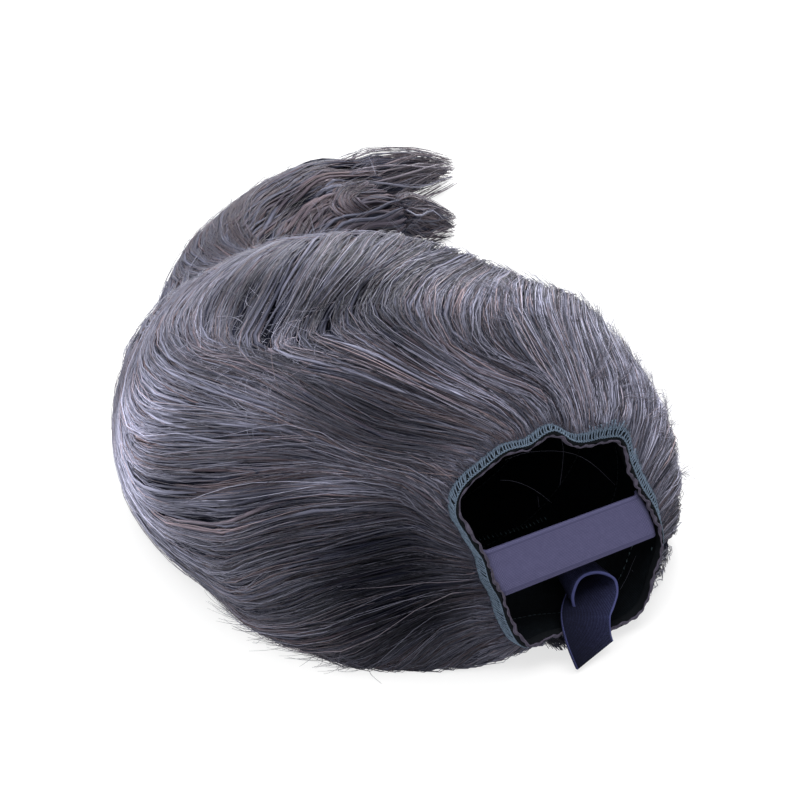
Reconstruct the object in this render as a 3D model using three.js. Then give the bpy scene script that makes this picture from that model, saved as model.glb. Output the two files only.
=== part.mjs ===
// A part wig lying on its nape: a hollow wefted cap with a bound, gathered mouth, an elastic band
// across the mouth, a looped nape strap, and long hair combed back over the cap and swept aside.
// Millimetres, +Z up, standing on z = 0. The mouth faces -Y, the crown is towards +Y.

import * as THREE from "three";

// Driving dimensions
const NET = 1.2; // wall of the stretch net cap
const TAPE = 0.9; // cloth of the edge binding
const BINDING_OUTSIDE = 8.5; // binding's leg on the outside of the cap
const BINDING_INSIDE = 3.5; // binding's leg inside the mouth
const GAP = 0.4; // clearance between neighbouring pieces
const ELASTIC_WIDTH = 25; // band and strap are the same woven elastic
const ELASTIC = 1.3; // its thickness
const ROOTS = 3; // hair lying on the cap where it leaves the binding
const BAND_TAB = 14; // end of the band sewn inside the cap
const BAND_BEHIND = 4; // band's face behind the mouth's edge
const BAND_ROUND = 8; // rounding where the band turns in along the wall
const BAND_LEFT = -5.2; // height of the band's middle at the left ear, in the mouth's plane
const BAND_RIGHT = -8.2; // and at the right ear
const AROUND = 48; // facets round the mouth
const TAIL_AROUND = 32; // facets round the lengths of hair
const STEPS = 2; // rings between two rows of a table
const BAND_STEPS = 5; // stations along each stretch of the band
const BAND_ACROSS = 4; // facets across the band

// The mouth's outline in its own plane, seen from in front: a row for each corner or gather.
const RIM = [
  { corner: "right ear", angle: 9, radius: 45.6 },
  { corner: "right temple low", angle: 26, radius: 46.8 },
  { corner: "right temple", angle: 41, radius: 52.9 },
  { corner: "gather right", angle: 52, radius: 49.0 },
  { corner: "gather", angle: 64, radius: 45.0 },
  { corner: "gather left", angle: 74, radius: 45.5 },
  { corner: "parting peak", angle: 86, radius: 52.1 },
  { corner: "parting left", angle: 102, radius: 51.0 },
  { corner: "left gather", angle: 115, radius: 56.7 },
  { corner: "left temple", angle: 127, radius: 60.2 },
  { corner: "left kink high", angle: 140, radius: 65.8 },
  { corner: "left kink", angle: 149, radius: 64.8 },
  { corner: "left ear high", angle: 158, radius: 56.3 },
  { corner: "left ear", angle: 172, radius: 47.7 },
  { corner: "left ear low", angle: 188, radius: 46.5 },
  { corner: "left tab", angle: 202, radius: 46.4 },
  { corner: "nape left high", angle: 217, radius: 52.0 },
  { corner: "nape left", angle: 231, radius: 56.9 },
  { corner: "nape gather left", angle: 243, radius: 51.0 },
  { corner: "nape gather", angle: 258, radius: 49.4 },
  { corner: "nape right", angle: 282, radius: 56.4 },
  { corner: "right tab", angle: 301, radius: 61.0 },
  { corner: "right tab high", angle: 318, radius: 57.5 },
  { corner: "right ear low", angle: 335, radius: 56.4 },
  { corner: "right ear middle", angle: 353, radius: 50.6 },
];

// Sections of the cap's wall, from the mouth to the crown. rim is the share of the mouth's own
// outline in the section and grow is how far that outline has widened.
const CAP = [
  { x: 29, y: -107, z: 56, tilt: 25, side: 52, up: 52, down: 52, rim: 1, grow: 0 },
  { x: 27, y: -96, z: 59, tilt: 23, side: 58, up: 54, down: 54, rim: 1, grow: 3 },
  { x: 24, y: -80, z: 62, tilt: 19, side: 65, up: 56, down: 54, rim: 0.6, grow: 7 },
  { x: 16, y: -52, z: 65, tilt: 11, side: 73, up: 58, down: 55, rim: 0.2, grow: 10 },
  { x: 8, y: -20, z: 66, tilt: 4, side: 75, up: 58, down: 56, rim: 0, grow: 0 },
  { x: 2, y: 12, z: 66, tilt: 0, side: 68, up: 54, down: 53, rim: 0, grow: 0 },
  { x: -2, y: 37, z: 65, tilt: 0, side: 52, up: 42, down: 42, rim: 0, grow: 0 },
  { x: -4, y: 53, z: 64, tilt: 0, side: 30, up: 25, down: 25, rim: 0, grow: 0 },
];
const CROWN = new THREE.Vector3(-4, 60, 64); // the cap's closing point

// Sections of the hair's outer form over the cap. Below z = 0 it is flattened by the floor.
const HAIR = [
  { x: 27, y: -91, z: 58, tilt: 22, left: 92, right: 98, up: 62, down: 90, rim: 0.6, grow: 15 },
  { x: 20, y: -70, z: 50, tilt: 15, left: 112, right: 106, up: 83, down: 140, rim: 0.2, grow: 30 },
  { x: 10, y: -38, z: 48, tilt: 7, left: 120, right: 111, up: 99, down: 138, rim: 0, grow: 0 },
  { x: 2, y: 0, z: 48, tilt: 2, left: 124, right: 112, up: 102, down: 118, rim: 0, grow: 0 },
  { x: -4, y: 38, z: 46, tilt: 0, left: 124, right: 110, up: 101, down: 110, rim: 0, grow: 0 },
  { x: -8, y: 76, z: 42, tilt: 0, left: 116, right: 100, up: 93, down: 108, rim: 0, grow: 0 },
  { x: -10, y: 108, z: 37, tilt: 0, left: 100, right: 86, up: 80, down: 100, rim: 0, grow: 0 },
  { x: -8, y: 138, z: 32, tilt: 0, left: 86, right: 68, up: 64, down: 90, rim: 0, grow: 0 },
];

// Sections of the free lengths, which turn right along the floor. heading is the way the hair runs,
// turned clockwise from +Y.
const LENGTHS = [
  { x: -8, y: 138.4, z: 32, heading: 0, left: 86, right: 68, up: 64, down: 90 },
  { x: 4, y: 170, z: 27, heading: 18, left: 56, right: 54, up: 38, down: 70 },
  { x: 24, y: 200, z: 24, heading: 42, left: 50, right: 46, up: 28, down: 60 },
  { x: 58, y: 227, z: 22, heading: 68, left: 49, right: 40, up: 26, down: 55 },
  { x: 102, y: 242, z: 20, heading: 88, left: 52, right: 38, up: 26, down: 50 },
  { x: 142, y: 244, z: 17, heading: 98, left: 50, right: 36, up: 22, down: 40 },
];

// Hollows in the hair's outer form, each by its middle, its reach and its depth. A swell is less than 0 deep.
const HOLLOWS = [
  { fold: "under the swept curl", x: -50, y: 27, z: 124, reach: 24, depth: 7 },
  { fold: "beside the left ear", x: -34, y: -82, z: 46, reach: 26, depth: 5 },
  { fold: "behind the parting", x: 49, y: 13, z: 140, reach: 28, depth: 3.5 },
  { fold: "swell at the right temple", x: 90, y: -20, z: 117, reach: 30, depth: -4 },
];

// The lengths end in two tapering locks, each from a butt face to its tip.
const LOCKS = {
  hair_lock_far: [
    { x: 146.5, y: 269, z: 15, heading: 98, left: 22, right: 20, up: 20, down: 36 },
    { x: 172, y: 266, z: 13, heading: 97, left: 18, right: 16, up: 15, down: 32 },
    { x: 198, y: 260, z: 9, heading: 100, left: 7, right: 6, up: 8, down: 18 },
  ],
  hair_lock_near: [
    { x: 141, y: 227, z: 15, heading: 98, left: 16, right: 17, up: 18, down: 36 },
    { x: 157, y: 220, z: 12, heading: 104, left: 12, right: 13, up: 14, down: 30 },
    { x: 172, y: 211, z: 8, heading: 110, left: 5, right: 5, up: 7, down: 16 },
  ],
};

// The nape strap, by its near edge: sewn inside the nape, looped over itself, out across the mouth's
// edge and down to the floor. swing turns its width from +Y towards +X, and pitch lifts it.
const STRAP = [
  { x: 27, y: -120, z: 15.5, swing: 20, pitch: 0 },
  { x: 27, y: -117, z: 24, swing: 10, pitch: 0 },
  { x: 33, y: -114.5, z: 31, swing: 0, pitch: 0 },
  { x: 43, y: -115, z: 30.5, swing: -4, pitch: 0 },
  { x: 51, y: -118, z: 25, swing: -6, pitch: 0 },
  { x: 50.5, y: -122.5, z: 20, swing: -13, pitch: 0 },
  { x: 44.5, y: -128, z: 18, swing: -32, pitch: 0 },
  { x: 38.5, y: -132.8, z: 17, swing: -70, pitch: 2 },
  { x: 36.5, y: -136, z: 11, swing: -92, pitch: -2 },
  { x: 37.6, y: -136.8, z: 5.2, swing: -100, pitch: -8 },
];

const UP = new THREE.Vector3(0, 0, 1);

// A value of one column between the rows of a table, on a smooth curve through them.
function column(rows, key, place) {
  const last = rows.length - 1;
  const index = Math.min(Math.floor(place), last - 1);
  const t = place - index;
  const at = (i) => rows[THREE.MathUtils.clamp(i, 0, last)][key];
  const [a, b, c, d] = [at(index - 1), at(index), at(index + 1), at(index + 2)];
  const slopeIn = (c - a) / 2;
  const slopeOut = (d - b) / 2;
  const bend = 2 * (b - c) + slopeIn + slopeOut;
  return b + slopeIn * t + (3 * (c - b) - 2 * slopeIn - slopeOut) * t * t + bend * t * t * t;
}

// A whole row of a table, in between its rows.
function rowAt(rows, place) {
  return Object.fromEntries(Object.keys(rows[0]).map((key) => [key, column(rows, key, place)]));
}

// The mouth's radius in a direction, eased from corner to corner.
function rimRadius(angle) {
  const turn = (THREE.MathUtils.radToDeg(angle) + 720) % 360;
  const turned = (rows, by) => rows.map(({ angle: at, radius }) => ({ angle: at + by, radius }));
  const rows = [...turned(RIM.slice(-2), -360), ...turned(RIM, 0), ...turned(RIM.slice(0, 2), 360)];
  const after = rows.findIndex((row) => row.angle > turn);
  const share = (turn - rows[after - 1].angle) / (rows[after].angle - rows[after - 1].angle);
  return column(rows, "radius", after - 1 + share);
}

// A point of a section: an oval of its four half sizes, mixed with the mouth's own outline, and
// flattened where it lies on the floor.
function sectionPoint(row, angle) {
  const across = Math.cos(angle);
  const rise = Math.sin(angle);
  const rim = row.rim ?? 0;
  const reach = rim * (rimRadius(angle) + (row.grow ?? 0));
  const side = row.side ?? (across > 0 ? row.right : row.left);
  const height = rise > 0 ? row.up : row.down;
  const heading = THREE.MathUtils.degToRad(row.heading ?? 0);
  const tilt = THREE.MathUtils.degToRad(row.tilt ?? 0);
  const u = across * (reach + (1 - rim) * side);
  const v = Math.max(rise * (reach + (1 - rim) * height), -row.z / Math.cos(tilt));
  const along = new THREE.Vector3(Math.sin(heading), Math.cos(heading), 0);
  const right = new THREE.Vector3(Math.cos(heading), -Math.sin(heading), 0);
  const upward = UP.clone().multiplyScalar(Math.cos(tilt)).addScaledVector(along, Math.sin(tilt));
  return new THREE.Vector3(row.x, row.y, row.z).addScaledVector(right, u).addScaledVector(upward, v);
}

const angleOf = (index, count) => (2 * Math.PI * index) / count;

// A ring of points from a function of the angle.
function ring(count, pointAt) {
  return Array.from({ length: count }, (_, index) => pointAt(angleOf(index, count)));
}

// The cap's middle surface: place runs from 0 at the mouth's edge to the last row at the crown.
function capPoint(angle, place) {
  return sectionPoint(rowAt(CAP, place), angle);
}

// Directions of the cap's wall at a point: along the edge, away from the mouth, and outwards.
function capDirections(angle, place) {
  const small = 0.02;
  const back = Math.min(place + small, CAP.length - 1);
  const along = capPoint(angle + small, place).sub(capPoint(angle - small, place)).normalize();
  const inward = capPoint(angle, back).sub(capPoint(angle, back - small)).normalize();
  const outward = new THREE.Vector3().crossVectors(inward, along).normalize();
  return { along, inward, outward };
}

// A ring of the cap's wall, moved outwards by an offset.
function capRing(place, offset) {
  return ring(AROUND, (angle) => {
    const { outward } = capDirections(angle, place);
    return capPoint(angle, place).addScaledVector(outward, offset);
  });
}

// A point beside the mouth's edge: back is the distance from the edge along the wall.
function edgePoint(angle, back, offset) {
  const edge = capPoint(angle, 0);
  const { inward, outward } = capDirections(angle, 0);
  return edge.addScaledVector(inward, back).addScaledVector(outward, offset);
}

// Joins rings of equal length into one skin. Each end is a closing point, or null where the last
// ring joins the first.
function skin(rings, start, end) {
  const count = rings[0].length;
  const points = rings.flat();
  const faces = [];
  const looped = start === null;
  const pairs = looped ? rings.length : rings.length - 1;
  for (let r = 0; r < pairs; r += 1) {
    const next = (r + 1) % rings.length;
    for (let i = 0; i < count; i += 1) {
      const j = (i + 1) % count;
      const [a, b, c, d] = [r * count + i, r * count + j, next * count + j, next * count + i];
      faces.push(a, b, c, a, c, d);
    }
  }
  if (!looped) {
    const tail = (rings.length - 1) * count;
    points.push(start, end);
    for (let i = 0; i < count; i += 1) {
      const j = (i + 1) % count;
      faces.push(points.length - 2, j, i);
      faces.push(points.length - 1, tail + i, tail + j);
    }
  }
  return faceted(points, faces);
}

// A geometry of points and triangles, turned to face outwards.
function faceted(points, faces) {
  const volume = faces.reduce((sum, _, i) => {
    if (i % 3) return sum;
    const [a, b, c] = [points[faces[i]], points[faces[i + 1]], points[faces[i + 2]]];
    return sum + a.dot(new THREE.Vector3().crossVectors(b, c)) / 6;
  }, 0);
  const outward = volume < 0 ? faces.slice().reverse() : faces;
  const geometry = new THREE.BufferGeometry().setFromPoints(points);
  geometry.setIndex(outward);
  geometry.computeVertexNormals();
  return geometry;
}

// A strip of cloth: a grid of points, one row for each station along it, given its thickness.
function strip(grid, thickness) {
  const stations = grid.length;
  const across = grid[0].length;
  const held = (index, count) => THREE.MathUtils.clamp(index, 0, count - 1);
  const at = (s, a) => grid[held(s, stations)][held(a, across)];
  const normal = (s, a) => {
    const along = at(s + 1, a).clone().sub(at(s - 1, a));
    const over = at(s, a + 1).clone().sub(at(s, a - 1));
    return along.cross(over).normalize();
  };
  const side = (s, a, way) => at(s, a).clone().addScaledVector(normal(s, a), (way * thickness) / 2);
  const sections = grid.map((row, s) => [
    ...row.map((_, a) => side(s, a, 1)),
    ...row.map((_, a) => side(s, across - 1 - a, -1)),
  ]);
  return skin(sections, middle(sections[0]), middle(sections[stations - 1]));
}

// The middle of a ring of points.
function middle(points) {
  return points.reduce((sum, point) => sum.add(point), new THREE.Vector3()).divideScalar(points.length);
}

// Evenly spaced values from one to another.
function steps(from, to, count) {
  return Array.from({ length: count + 1 }, (_, i) => from + ((to - from) * i) / count);
}

// The places of a table's rows and of the rings between them.
function places(rows, first) {
  const last = rows.length - 1;
  return steps(first, last, (last - first) * STEPS);
}

const netCloth = new THREE.MeshStandardMaterial({ color: 0x101218, roughness: 0.9, metalness: 0 });
const bindingCloth = new THREE.MeshStandardMaterial({ color: 0x3a4450, roughness: 0.8, metalness: 0 });
const elasticCloth = new THREE.MeshStandardMaterial({ color: 0x5e5c7a, roughness: 0.75, metalness: 0 });
const hairFibre = new THREE.MeshStandardMaterial({ color: 0x35323a, roughness: 0.45, metalness: 0 });

const wig = new THREE.Group();

function add(name, geometry, material) {
  const mesh = new THREE.Mesh(geometry, material);
  mesh.name = name;
  wig.add(mesh);
}

// The cap's closing point at the crown, moved outwards by an offset.
function crownPole(offset) {
  const outward = CROWN.clone().sub(CAP[0]).normalize();
  return CROWN.clone().addScaledVector(outward, offset);
}

// The cap: one wall of net from the bound edge to the crown, open at the mouth.
function capWall() {
  const outside = places(CAP, 0).map((place) => capRing(place, NET / 2));
  const inside = places(CAP, 0).map((place) => capRing(place, -NET / 2));
  return skin([...inside.reverse(), ...outside], crownPole(-NET / 2), crownPole(NET / 2));
}

// The binding: a tape folded round the cap's edge, long outside and short inside.
function edgeBinding() {
  const near = NET / 2 + GAP;
  const far = near + TAPE;
  const section = [
    { back: BINDING_OUTSIDE, offset: near },
    { back: BINDING_OUTSIDE, offset: far },
    { back: 0, offset: far },
    { back: -GAP - TAPE, offset: NET / 2 },
    { back: -GAP - TAPE, offset: -NET / 2 },
    { back: 0, offset: -far },
    { back: BINDING_INSIDE, offset: -far },
    { back: BINDING_INSIDE, offset: -near },
    { back: -GAP, offset: -near },
    { back: -GAP, offset: near },
  ];
  const rings = section.map(({ back, offset }) => ring(AROUND, (angle) => edgePoint(angle, back, offset)));
  return skin(rings, null, null);
}

// The hair over the cap: a thick shell from the binding's back edge to the nape of the lengths,
// hollow where the cap sits.
function hairCrown() {
  const cavity = NET / 2 + GAP;
  const inside = places(CAP, 1).map((place) => capRing(place, cavity));
  const lip = capRing(1, cavity + ROOTS);
  const outside = places(HAIR, 0).map((place) => hairRing(HAIR, place, AROUND));
  return skin([...outside.reverse(), lip, ...inside], middle(outside[0]), crownPole(cavity));
}

// A ring of the hair's outer form, hollowed at its folds.
function hairRing(rows, place, count) {
  const row = rowAt(rows, place);
  const core = new THREE.Vector3(row.x, row.y, row.z);
  return ring(count, (angle) => {
    const point = sectionPoint(row, angle);
    const depth = HOLLOWS.reduce((sum, hollow) => {
      const away = point.distanceTo(hollow) / hollow.reach;
      return sum + hollow.depth * Math.exp(-away * away);
    }, 0);
    point.addScaledVector(core.clone().sub(point).normalize(), depth);
    return point;
  });
}

// The angle at which the mouth's edge reaches a height in its plane, where it rises from one angle
// to another.
function rimAngle(height, lowAngle, highAngle) {
  let [below, above] = [lowAngle, highAngle];
  for (let halving = 0; halving < 40; halving += 1) {
    const between = (below + above) / 2;
    if (rimRadius(between) * Math.sin(between) > height) above = between;
    else below = between;
  }
  return (below + above) / 2;
}

// A point on the way from one point to another.
function towards(from, to, distance) {
  return from.clone().addScaledVector(to.clone().sub(from).normalize(), distance);
}

// Points round a corner, from the side of one point to the side of another.
function roundCorner(before, corner, after) {
  const enter = towards(corner, before, BAND_ROUND);
  const leave = towards(corner, after, BAND_ROUND);
  return new THREE.QuadraticBezierCurve3(enter, corner, leave).getPoints(BAND_STEPS);
}

// One thread of the band: along the wall from its sewn end, round into the mouth, and across.
function bandThread(leftAngle, rightAngle) {
  const offset = -(NET / 2 + GAP + TAPE + GAP + ELASTIC / 2);
  const leftEnd = edgePoint(leftAngle, BAND_TAB, offset);
  const left = edgePoint(leftAngle, BAND_BEHIND, offset);
  const right = edgePoint(rightAngle, BAND_BEHIND, offset);
  const rightEnd = edgePoint(rightAngle, BAND_TAB, offset);
  const crossing = new THREE.LineCurve3(
    towards(left, right, 2 * BAND_ROUND),
    towards(right, left, 2 * BAND_ROUND),
  );
  return [
    leftEnd,
    ...roundCorner(leftEnd, left, right),
    ...crossing.getPoints(BAND_STEPS),
    ...roundCorner(left, right, rightEnd),
    rightEnd,
  ];
}

// The elastic band across the mouth from ear to ear.
function elasticBand() {
  const threads = steps(ELASTIC_WIDTH / 2, -ELASTIC_WIDTH / 2, BAND_ACROSS).map((height) => {
    const leftAngle = rimAngle(BAND_LEFT + height, 1.25 * Math.PI, 0.85 * Math.PI);
    const rightAngle = rimAngle(BAND_RIGHT + height, -0.25 * Math.PI, 0.15 * Math.PI);
    return bandThread(leftAngle, rightAngle);
  });
  const grid = threads[0].map((_, station) => threads.map((thread) => thread[station]));
  return strip(grid, ELASTIC);
}

// The nape strap: a ribbon whose far edge is swung from its near edge.
function napeStrap() {
  const grid = places(STRAP, 0).map((place) => {
    const { x, y, z, swing, pitch } = rowAt(STRAP, place);
    const fromUp = THREE.MathUtils.degToRad(90 - pitch);
    const fromX = THREE.MathUtils.degToRad(90 - swing);
    const near = new THREE.Vector3(x, y, z);
    const level = new THREE.Vector3(Math.cos(fromX), Math.sin(fromX), 0);
    const width = level.multiplyScalar(Math.sin(fromUp)).addScaledVector(UP, Math.cos(fromUp));
    return steps(0, ELASTIC_WIDTH, 2).map((reach) => near.clone().addScaledVector(width, reach));
  });
  return strip(grid, ELASTIC);
}

// A length or lock of hair lying on the floor, between flat ends.
function hairLength(rows) {
  const rings = places(rows, 0).map((place) => hairRing(rows, place, TAIL_AROUND));
  return skin(rings, middle(rings[0]), middle(rings[rings.length - 1]));
}

add("cap_net", capWall(), netCloth);
add("edge_binding", edgeBinding(), bindingCloth);
add("elastic_band", elasticBand(), elasticCloth);
add("nape_strap", napeStrap(), elasticCloth);
add("hair_crown", hairCrown(), hairFibre);
add("hair_lengths", hairLength(LENGTHS), hairFibre);
Object.entries(LOCKS).forEach(([name, rows]) => add(name, hairLength(rows), hairFibre));

// The origin is on the floor, under the middle of the whole.
const bounds = new THREE.Box3().setFromObject(wig);
const centre = bounds.getCenter(new THREE.Vector3());
wig.children.forEach((mesh) => mesh.geometry.translate(-centre.x, -centre.y, -bounds.min.z));

export default wig;
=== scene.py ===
"""A part wig lying on its nape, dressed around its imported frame.

Sizes are millimetres in the maker's frame: the wig lies on z = 0, its mouth faces -Y and its crown is
towards +Y. Points are moved into the shared frame, in metres, as a mesh is written.
"""

import logging
from dataclasses import dataclass, field, fields, replace
from enum import Enum
from typing import Any, NamedTuple, Sequence

import bpy
import numpy as np
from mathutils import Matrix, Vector


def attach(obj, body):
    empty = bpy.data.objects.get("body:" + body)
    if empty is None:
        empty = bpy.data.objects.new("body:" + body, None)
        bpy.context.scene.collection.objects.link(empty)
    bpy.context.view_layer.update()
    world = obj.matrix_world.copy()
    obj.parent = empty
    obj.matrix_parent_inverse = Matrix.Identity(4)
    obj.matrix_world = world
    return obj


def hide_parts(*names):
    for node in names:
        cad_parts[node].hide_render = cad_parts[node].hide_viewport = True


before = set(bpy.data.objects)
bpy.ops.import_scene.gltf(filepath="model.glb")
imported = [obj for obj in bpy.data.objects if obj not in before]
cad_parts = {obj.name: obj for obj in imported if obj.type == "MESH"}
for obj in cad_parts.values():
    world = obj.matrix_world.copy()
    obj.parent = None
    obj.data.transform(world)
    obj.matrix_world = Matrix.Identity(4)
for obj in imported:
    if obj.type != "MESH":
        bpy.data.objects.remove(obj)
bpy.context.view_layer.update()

LOG = logging.getLogger("wig")
BODY = "root"
MM = 0.001
MAKER_ORIGIN = np.array([-35.596, -76.66, 0.0])  # the maker's origin in the shared frame
FLOOR_CLEARANCE = 0.3  # least height of a strand's middle above the floor
LEAST_HEIGHT = 0.1  # least height of any point of a strand
MAP_LANE = 7.3  # how far apart strands lie in their map
PLAIN = 0.625  # how light ordinary hair is, as a share of the sheen at the wig's edge
PHASES = (0.0, 6.28)  # a random phase in radians
EVEN_STEPS = (0.7549, 0.5698)  # steps whose multiples, less whole numbers, fill a square evenly
Array = np.ndarray
Pair = tuple[float, float]
Triple = tuple[float, float, float]
Material = bpy.types.Material
Tree = bpy.types.NodeTree
Piece = bpy.types.Object


def unit(vectors: Array) -> Array:
    """Vectors of length one along the last axis."""
    return vectors / np.maximum(np.linalg.norm(vectors, axis=-1, keepdims=True), 1e-9)


def ease(share: Array) -> Array:
    """A share held from 0 to 1, with soft ends."""
    held = np.clip(share, 0.0, 1.0)
    return held * held * (3 - 2 * held)


def at_least(least: Any, share: Array) -> Array:
    """A share from 0 to 1, drawn up to start at a least value."""
    return least + (1 - least) * share


def thinned(share: Array, loss: float, over: float) -> Array:
    """What is left of a hair's thickness along it, with a loss spread over its last part."""
    return 1 - loss * ease((share - (1 - over)) / over)


def smooth(rows: Array, place: Array) -> Array:
    """Values between the rows of a table, on a smooth curve through them.

    Args:
        rows: A table of shape (rows, columns), or (strands, rows, columns) with a table a strand.
        place: Row numbers with fractions, of any shape, or (strands, stations).

    Returns:
        The values, with the columns as the last axis.
    """
    last = rows.shape[-2] - 1
    index = np.clip(np.floor(place).astype(int), 0, last - 1)
    share = (place - index)[..., None]

    def pick(step: int) -> Array:
        """Rows a step away from the index, held at the table's ends."""
        held = np.clip(index + step, 0, last)
        return rows[held] if rows.ndim == 2 else rows[np.arange(len(rows))[:, None], held]

    before, start, end, after = (pick(step) for step in (-1, 0, 1, 2))
    slope_in = (end - before) / 2
    slope_out = (after - start) / 2
    bow = 3 * (end - start) - 2 * slope_in - slope_out
    twist = 2 * (start - end) + slope_in + slope_out
    return start + slope_in * share + bow * share**2 + twist * share**3


def runs(paths: Array) -> Array:
    """The way along each path from its start to each of its points."""
    steps = np.diff(paths, axis=-2, prepend=paths[..., :1, :])
    return np.cumsum(np.linalg.norm(steps, axis=-1), axis=-1)


def path_length(path: Array) -> float:
    """The length of one path."""
    return np.linalg.norm(np.diff(path, axis=0), axis=1).sum()


def crossed(rows: Array, columns: Array) -> Sequence[Array]:
    """Tables of the row's value and of the column's, for each row and column."""
    return np.broadcast_arrays(rows[:, None], columns[None, :])


class Section(NamedTuple):
    """A section of a form: its core, its four half sizes and the way it faces."""

    x: float
    y: float
    z: float
    left: float
    right: float
    up: float
    down: float
    heading: float = 0.0
    tilt: float = 0.0
    rim: float = 0.0
    grow: float = 0.0


class Corner(NamedTuple):
    """A corner or gather of the mouth's edge, in the mouth's own plane."""

    angle: float
    radius: float


MOUTH = tuple(
    Corner(angle, radius)
    for angle, radius in (
        (9, 45.6), (26, 46.8), (41, 52.9), (52, 49.0), (64, 45.0), (74, 45.5), (86, 52.1),
        (102, 51.0), (115, 56.7), (127, 60.2), (140, 65.8), (149, 64.8), (158, 56.3), (172, 47.7),
        (188, 46.5), (202, 46.4), (217, 52.0), (231, 56.9), (243, 51.0), (258, 49.4), (282, 56.4),
        (301, 61.0), (318, 57.5), (335, 56.4), (353, 50.6),
    )
)

CAP = (
    Section(29, -107, 56, 52, 52, 52, 52, tilt=25, rim=1.0, grow=0),
    Section(27, -96, 59, 58, 58, 54, 54, tilt=23, rim=1.0, grow=3),
    Section(24, -80, 62, 65, 65, 56, 54, tilt=19, rim=0.6, grow=7),
    Section(16, -52, 65, 73, 73, 58, 55, tilt=11, rim=0.2, grow=10),
    Section(8, -20, 66, 75, 75, 58, 56, tilt=4),
    Section(2, 12, 66, 68, 68, 54, 53),
    Section(-2, 37, 65, 52, 52, 42, 42),
    Section(-4, 53, 64, 30, 30, 25, 25),
)
CROWN = np.array([-4.0, 60.0, 64.0])

HAIR = (
    Section(27, -91, 58, 92, 98, 62, 90, tilt=22, rim=0.6, grow=15),
    Section(20, -70, 50, 112, 106, 83, 140, tilt=15, rim=0.2, grow=30),
    Section(10, -38, 48, 120, 111, 99, 138, tilt=7),
    Section(2, 0, 48, 124, 112, 102, 118, tilt=2),
    Section(-4, 38, 46, 124, 110, 101, 110),
    Section(-8, 76, 42, 116, 100, 93, 108),
    Section(-10, 108, 37, 100, 86, 80, 100),
    Section(-8, 138, 32, 86, 68, 64, 90),
    Section(4, 170, 27, 56, 54, 38, 70, heading=18),
    Section(24, 200, 24, 50, 46, 28, 60, heading=42),
    Section(58, 227, 22, 49, 40, 26, 55, heading=68),
    Section(102, 242, 20, 52, 38, 26, 50, heading=88),
    Section(142, 244, 17, 50, 36, 22, 40, heading=98),
)

END_LOCKS = {
    "far": (
        Section(128, 270, 15, 22, 20, 27, 36, heading=98),
        Section(172, 266, 13, 18, 16, 20, 32, heading=97),
        Section(205, 264, 9, 7, 6, 8, 18, heading=100),
    ),
    "near": (
        Section(141, 227, 15, 16, 17, 18, 36, heading=98),
        Section(157, 220, 12, 12, 13, 14, 30, heading=104),
        Section(172, 211, 8, 5, 5, 7, 16, heading=110),
    ),
}


def mouth_radius(angle: Array) -> Array:
    """The mouth's radius in directions, eased from corner to corner.

    Args:
        angle: Degrees round the mouth from +X.

    Returns:
        Radii in millimetres.
    """
    corners = np.array(MOUTH)
    turn = np.array([360.0, 0.0])
    table = np.concatenate([corners[-2:] - turn, corners, corners[:2] + turn])
    held = np.mod(angle, 360.0)
    after = np.searchsorted(table[:, 0], held, side="right")
    start, end = table[after - 1, 0], table[after, 0]
    place = after - 1 + (held - start) / (end - start)
    return smooth(table[:, 1:], place)[..., 0]


class Loft:
    """A smooth skin through a table of sections."""

    def __init__(self, sections: Sequence[Section]) -> None:
        """Keeps the table's rows."""
        self.rows = np.array(sections, float)
        self.last = len(sections) - 1

    def point(self, place: Array, angle: Array, floor: bool = True) -> Array:
        """Points of the skin.

        Args:
            place: Section numbers with fractions.
            angle: Degrees round the section from its right side.
            floor: Whether the floor flattens it.

        Returns:
            Points, with x, y and z as the last axis.
        """
        row = np.moveaxis(smooth(self.rows, place), -1, 0)
        x, y, z, left, right, up, down, heading, tilt, rim, grow = row
        across, rise = np.cos(np.radians(angle)), np.sin(np.radians(angle))
        turn, lean = np.radians(heading), np.radians(tilt)
        reach = rim * (mouth_radius(angle) + grow)
        u = across * (reach + (1 - rim) * np.where(across > 0, right, left))
        v = rise * (reach + (1 - rim) * np.where(rise > 0, up, down))
        if floor:
            v = np.maximum(v, -z / np.cos(lean))
        back = v * np.sin(lean)
        return np.stack(
            [
                x + u * np.cos(turn) + back * np.sin(turn),
                y - u * np.sin(turn) + back * np.cos(turn),
                z + v * np.cos(lean),
            ],
            axis=-1,
        )

    def normal(self, place: Array, angle: Array) -> Array:
        """Directions out of the skin, as if no floor flattened it.

        Args:
            place: Section numbers with fractions.
            angle: Degrees round the section.

        Returns:
            Unit vectors.
        """
        small = 0.03
        degree = 1.5
        along = self.point(place + small, angle, False) - self.point(place - small, angle, False)
        around = self.point(place, angle + degree, False) - self.point(place, angle - degree, False)
        return unit(np.cross(along, around))


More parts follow.
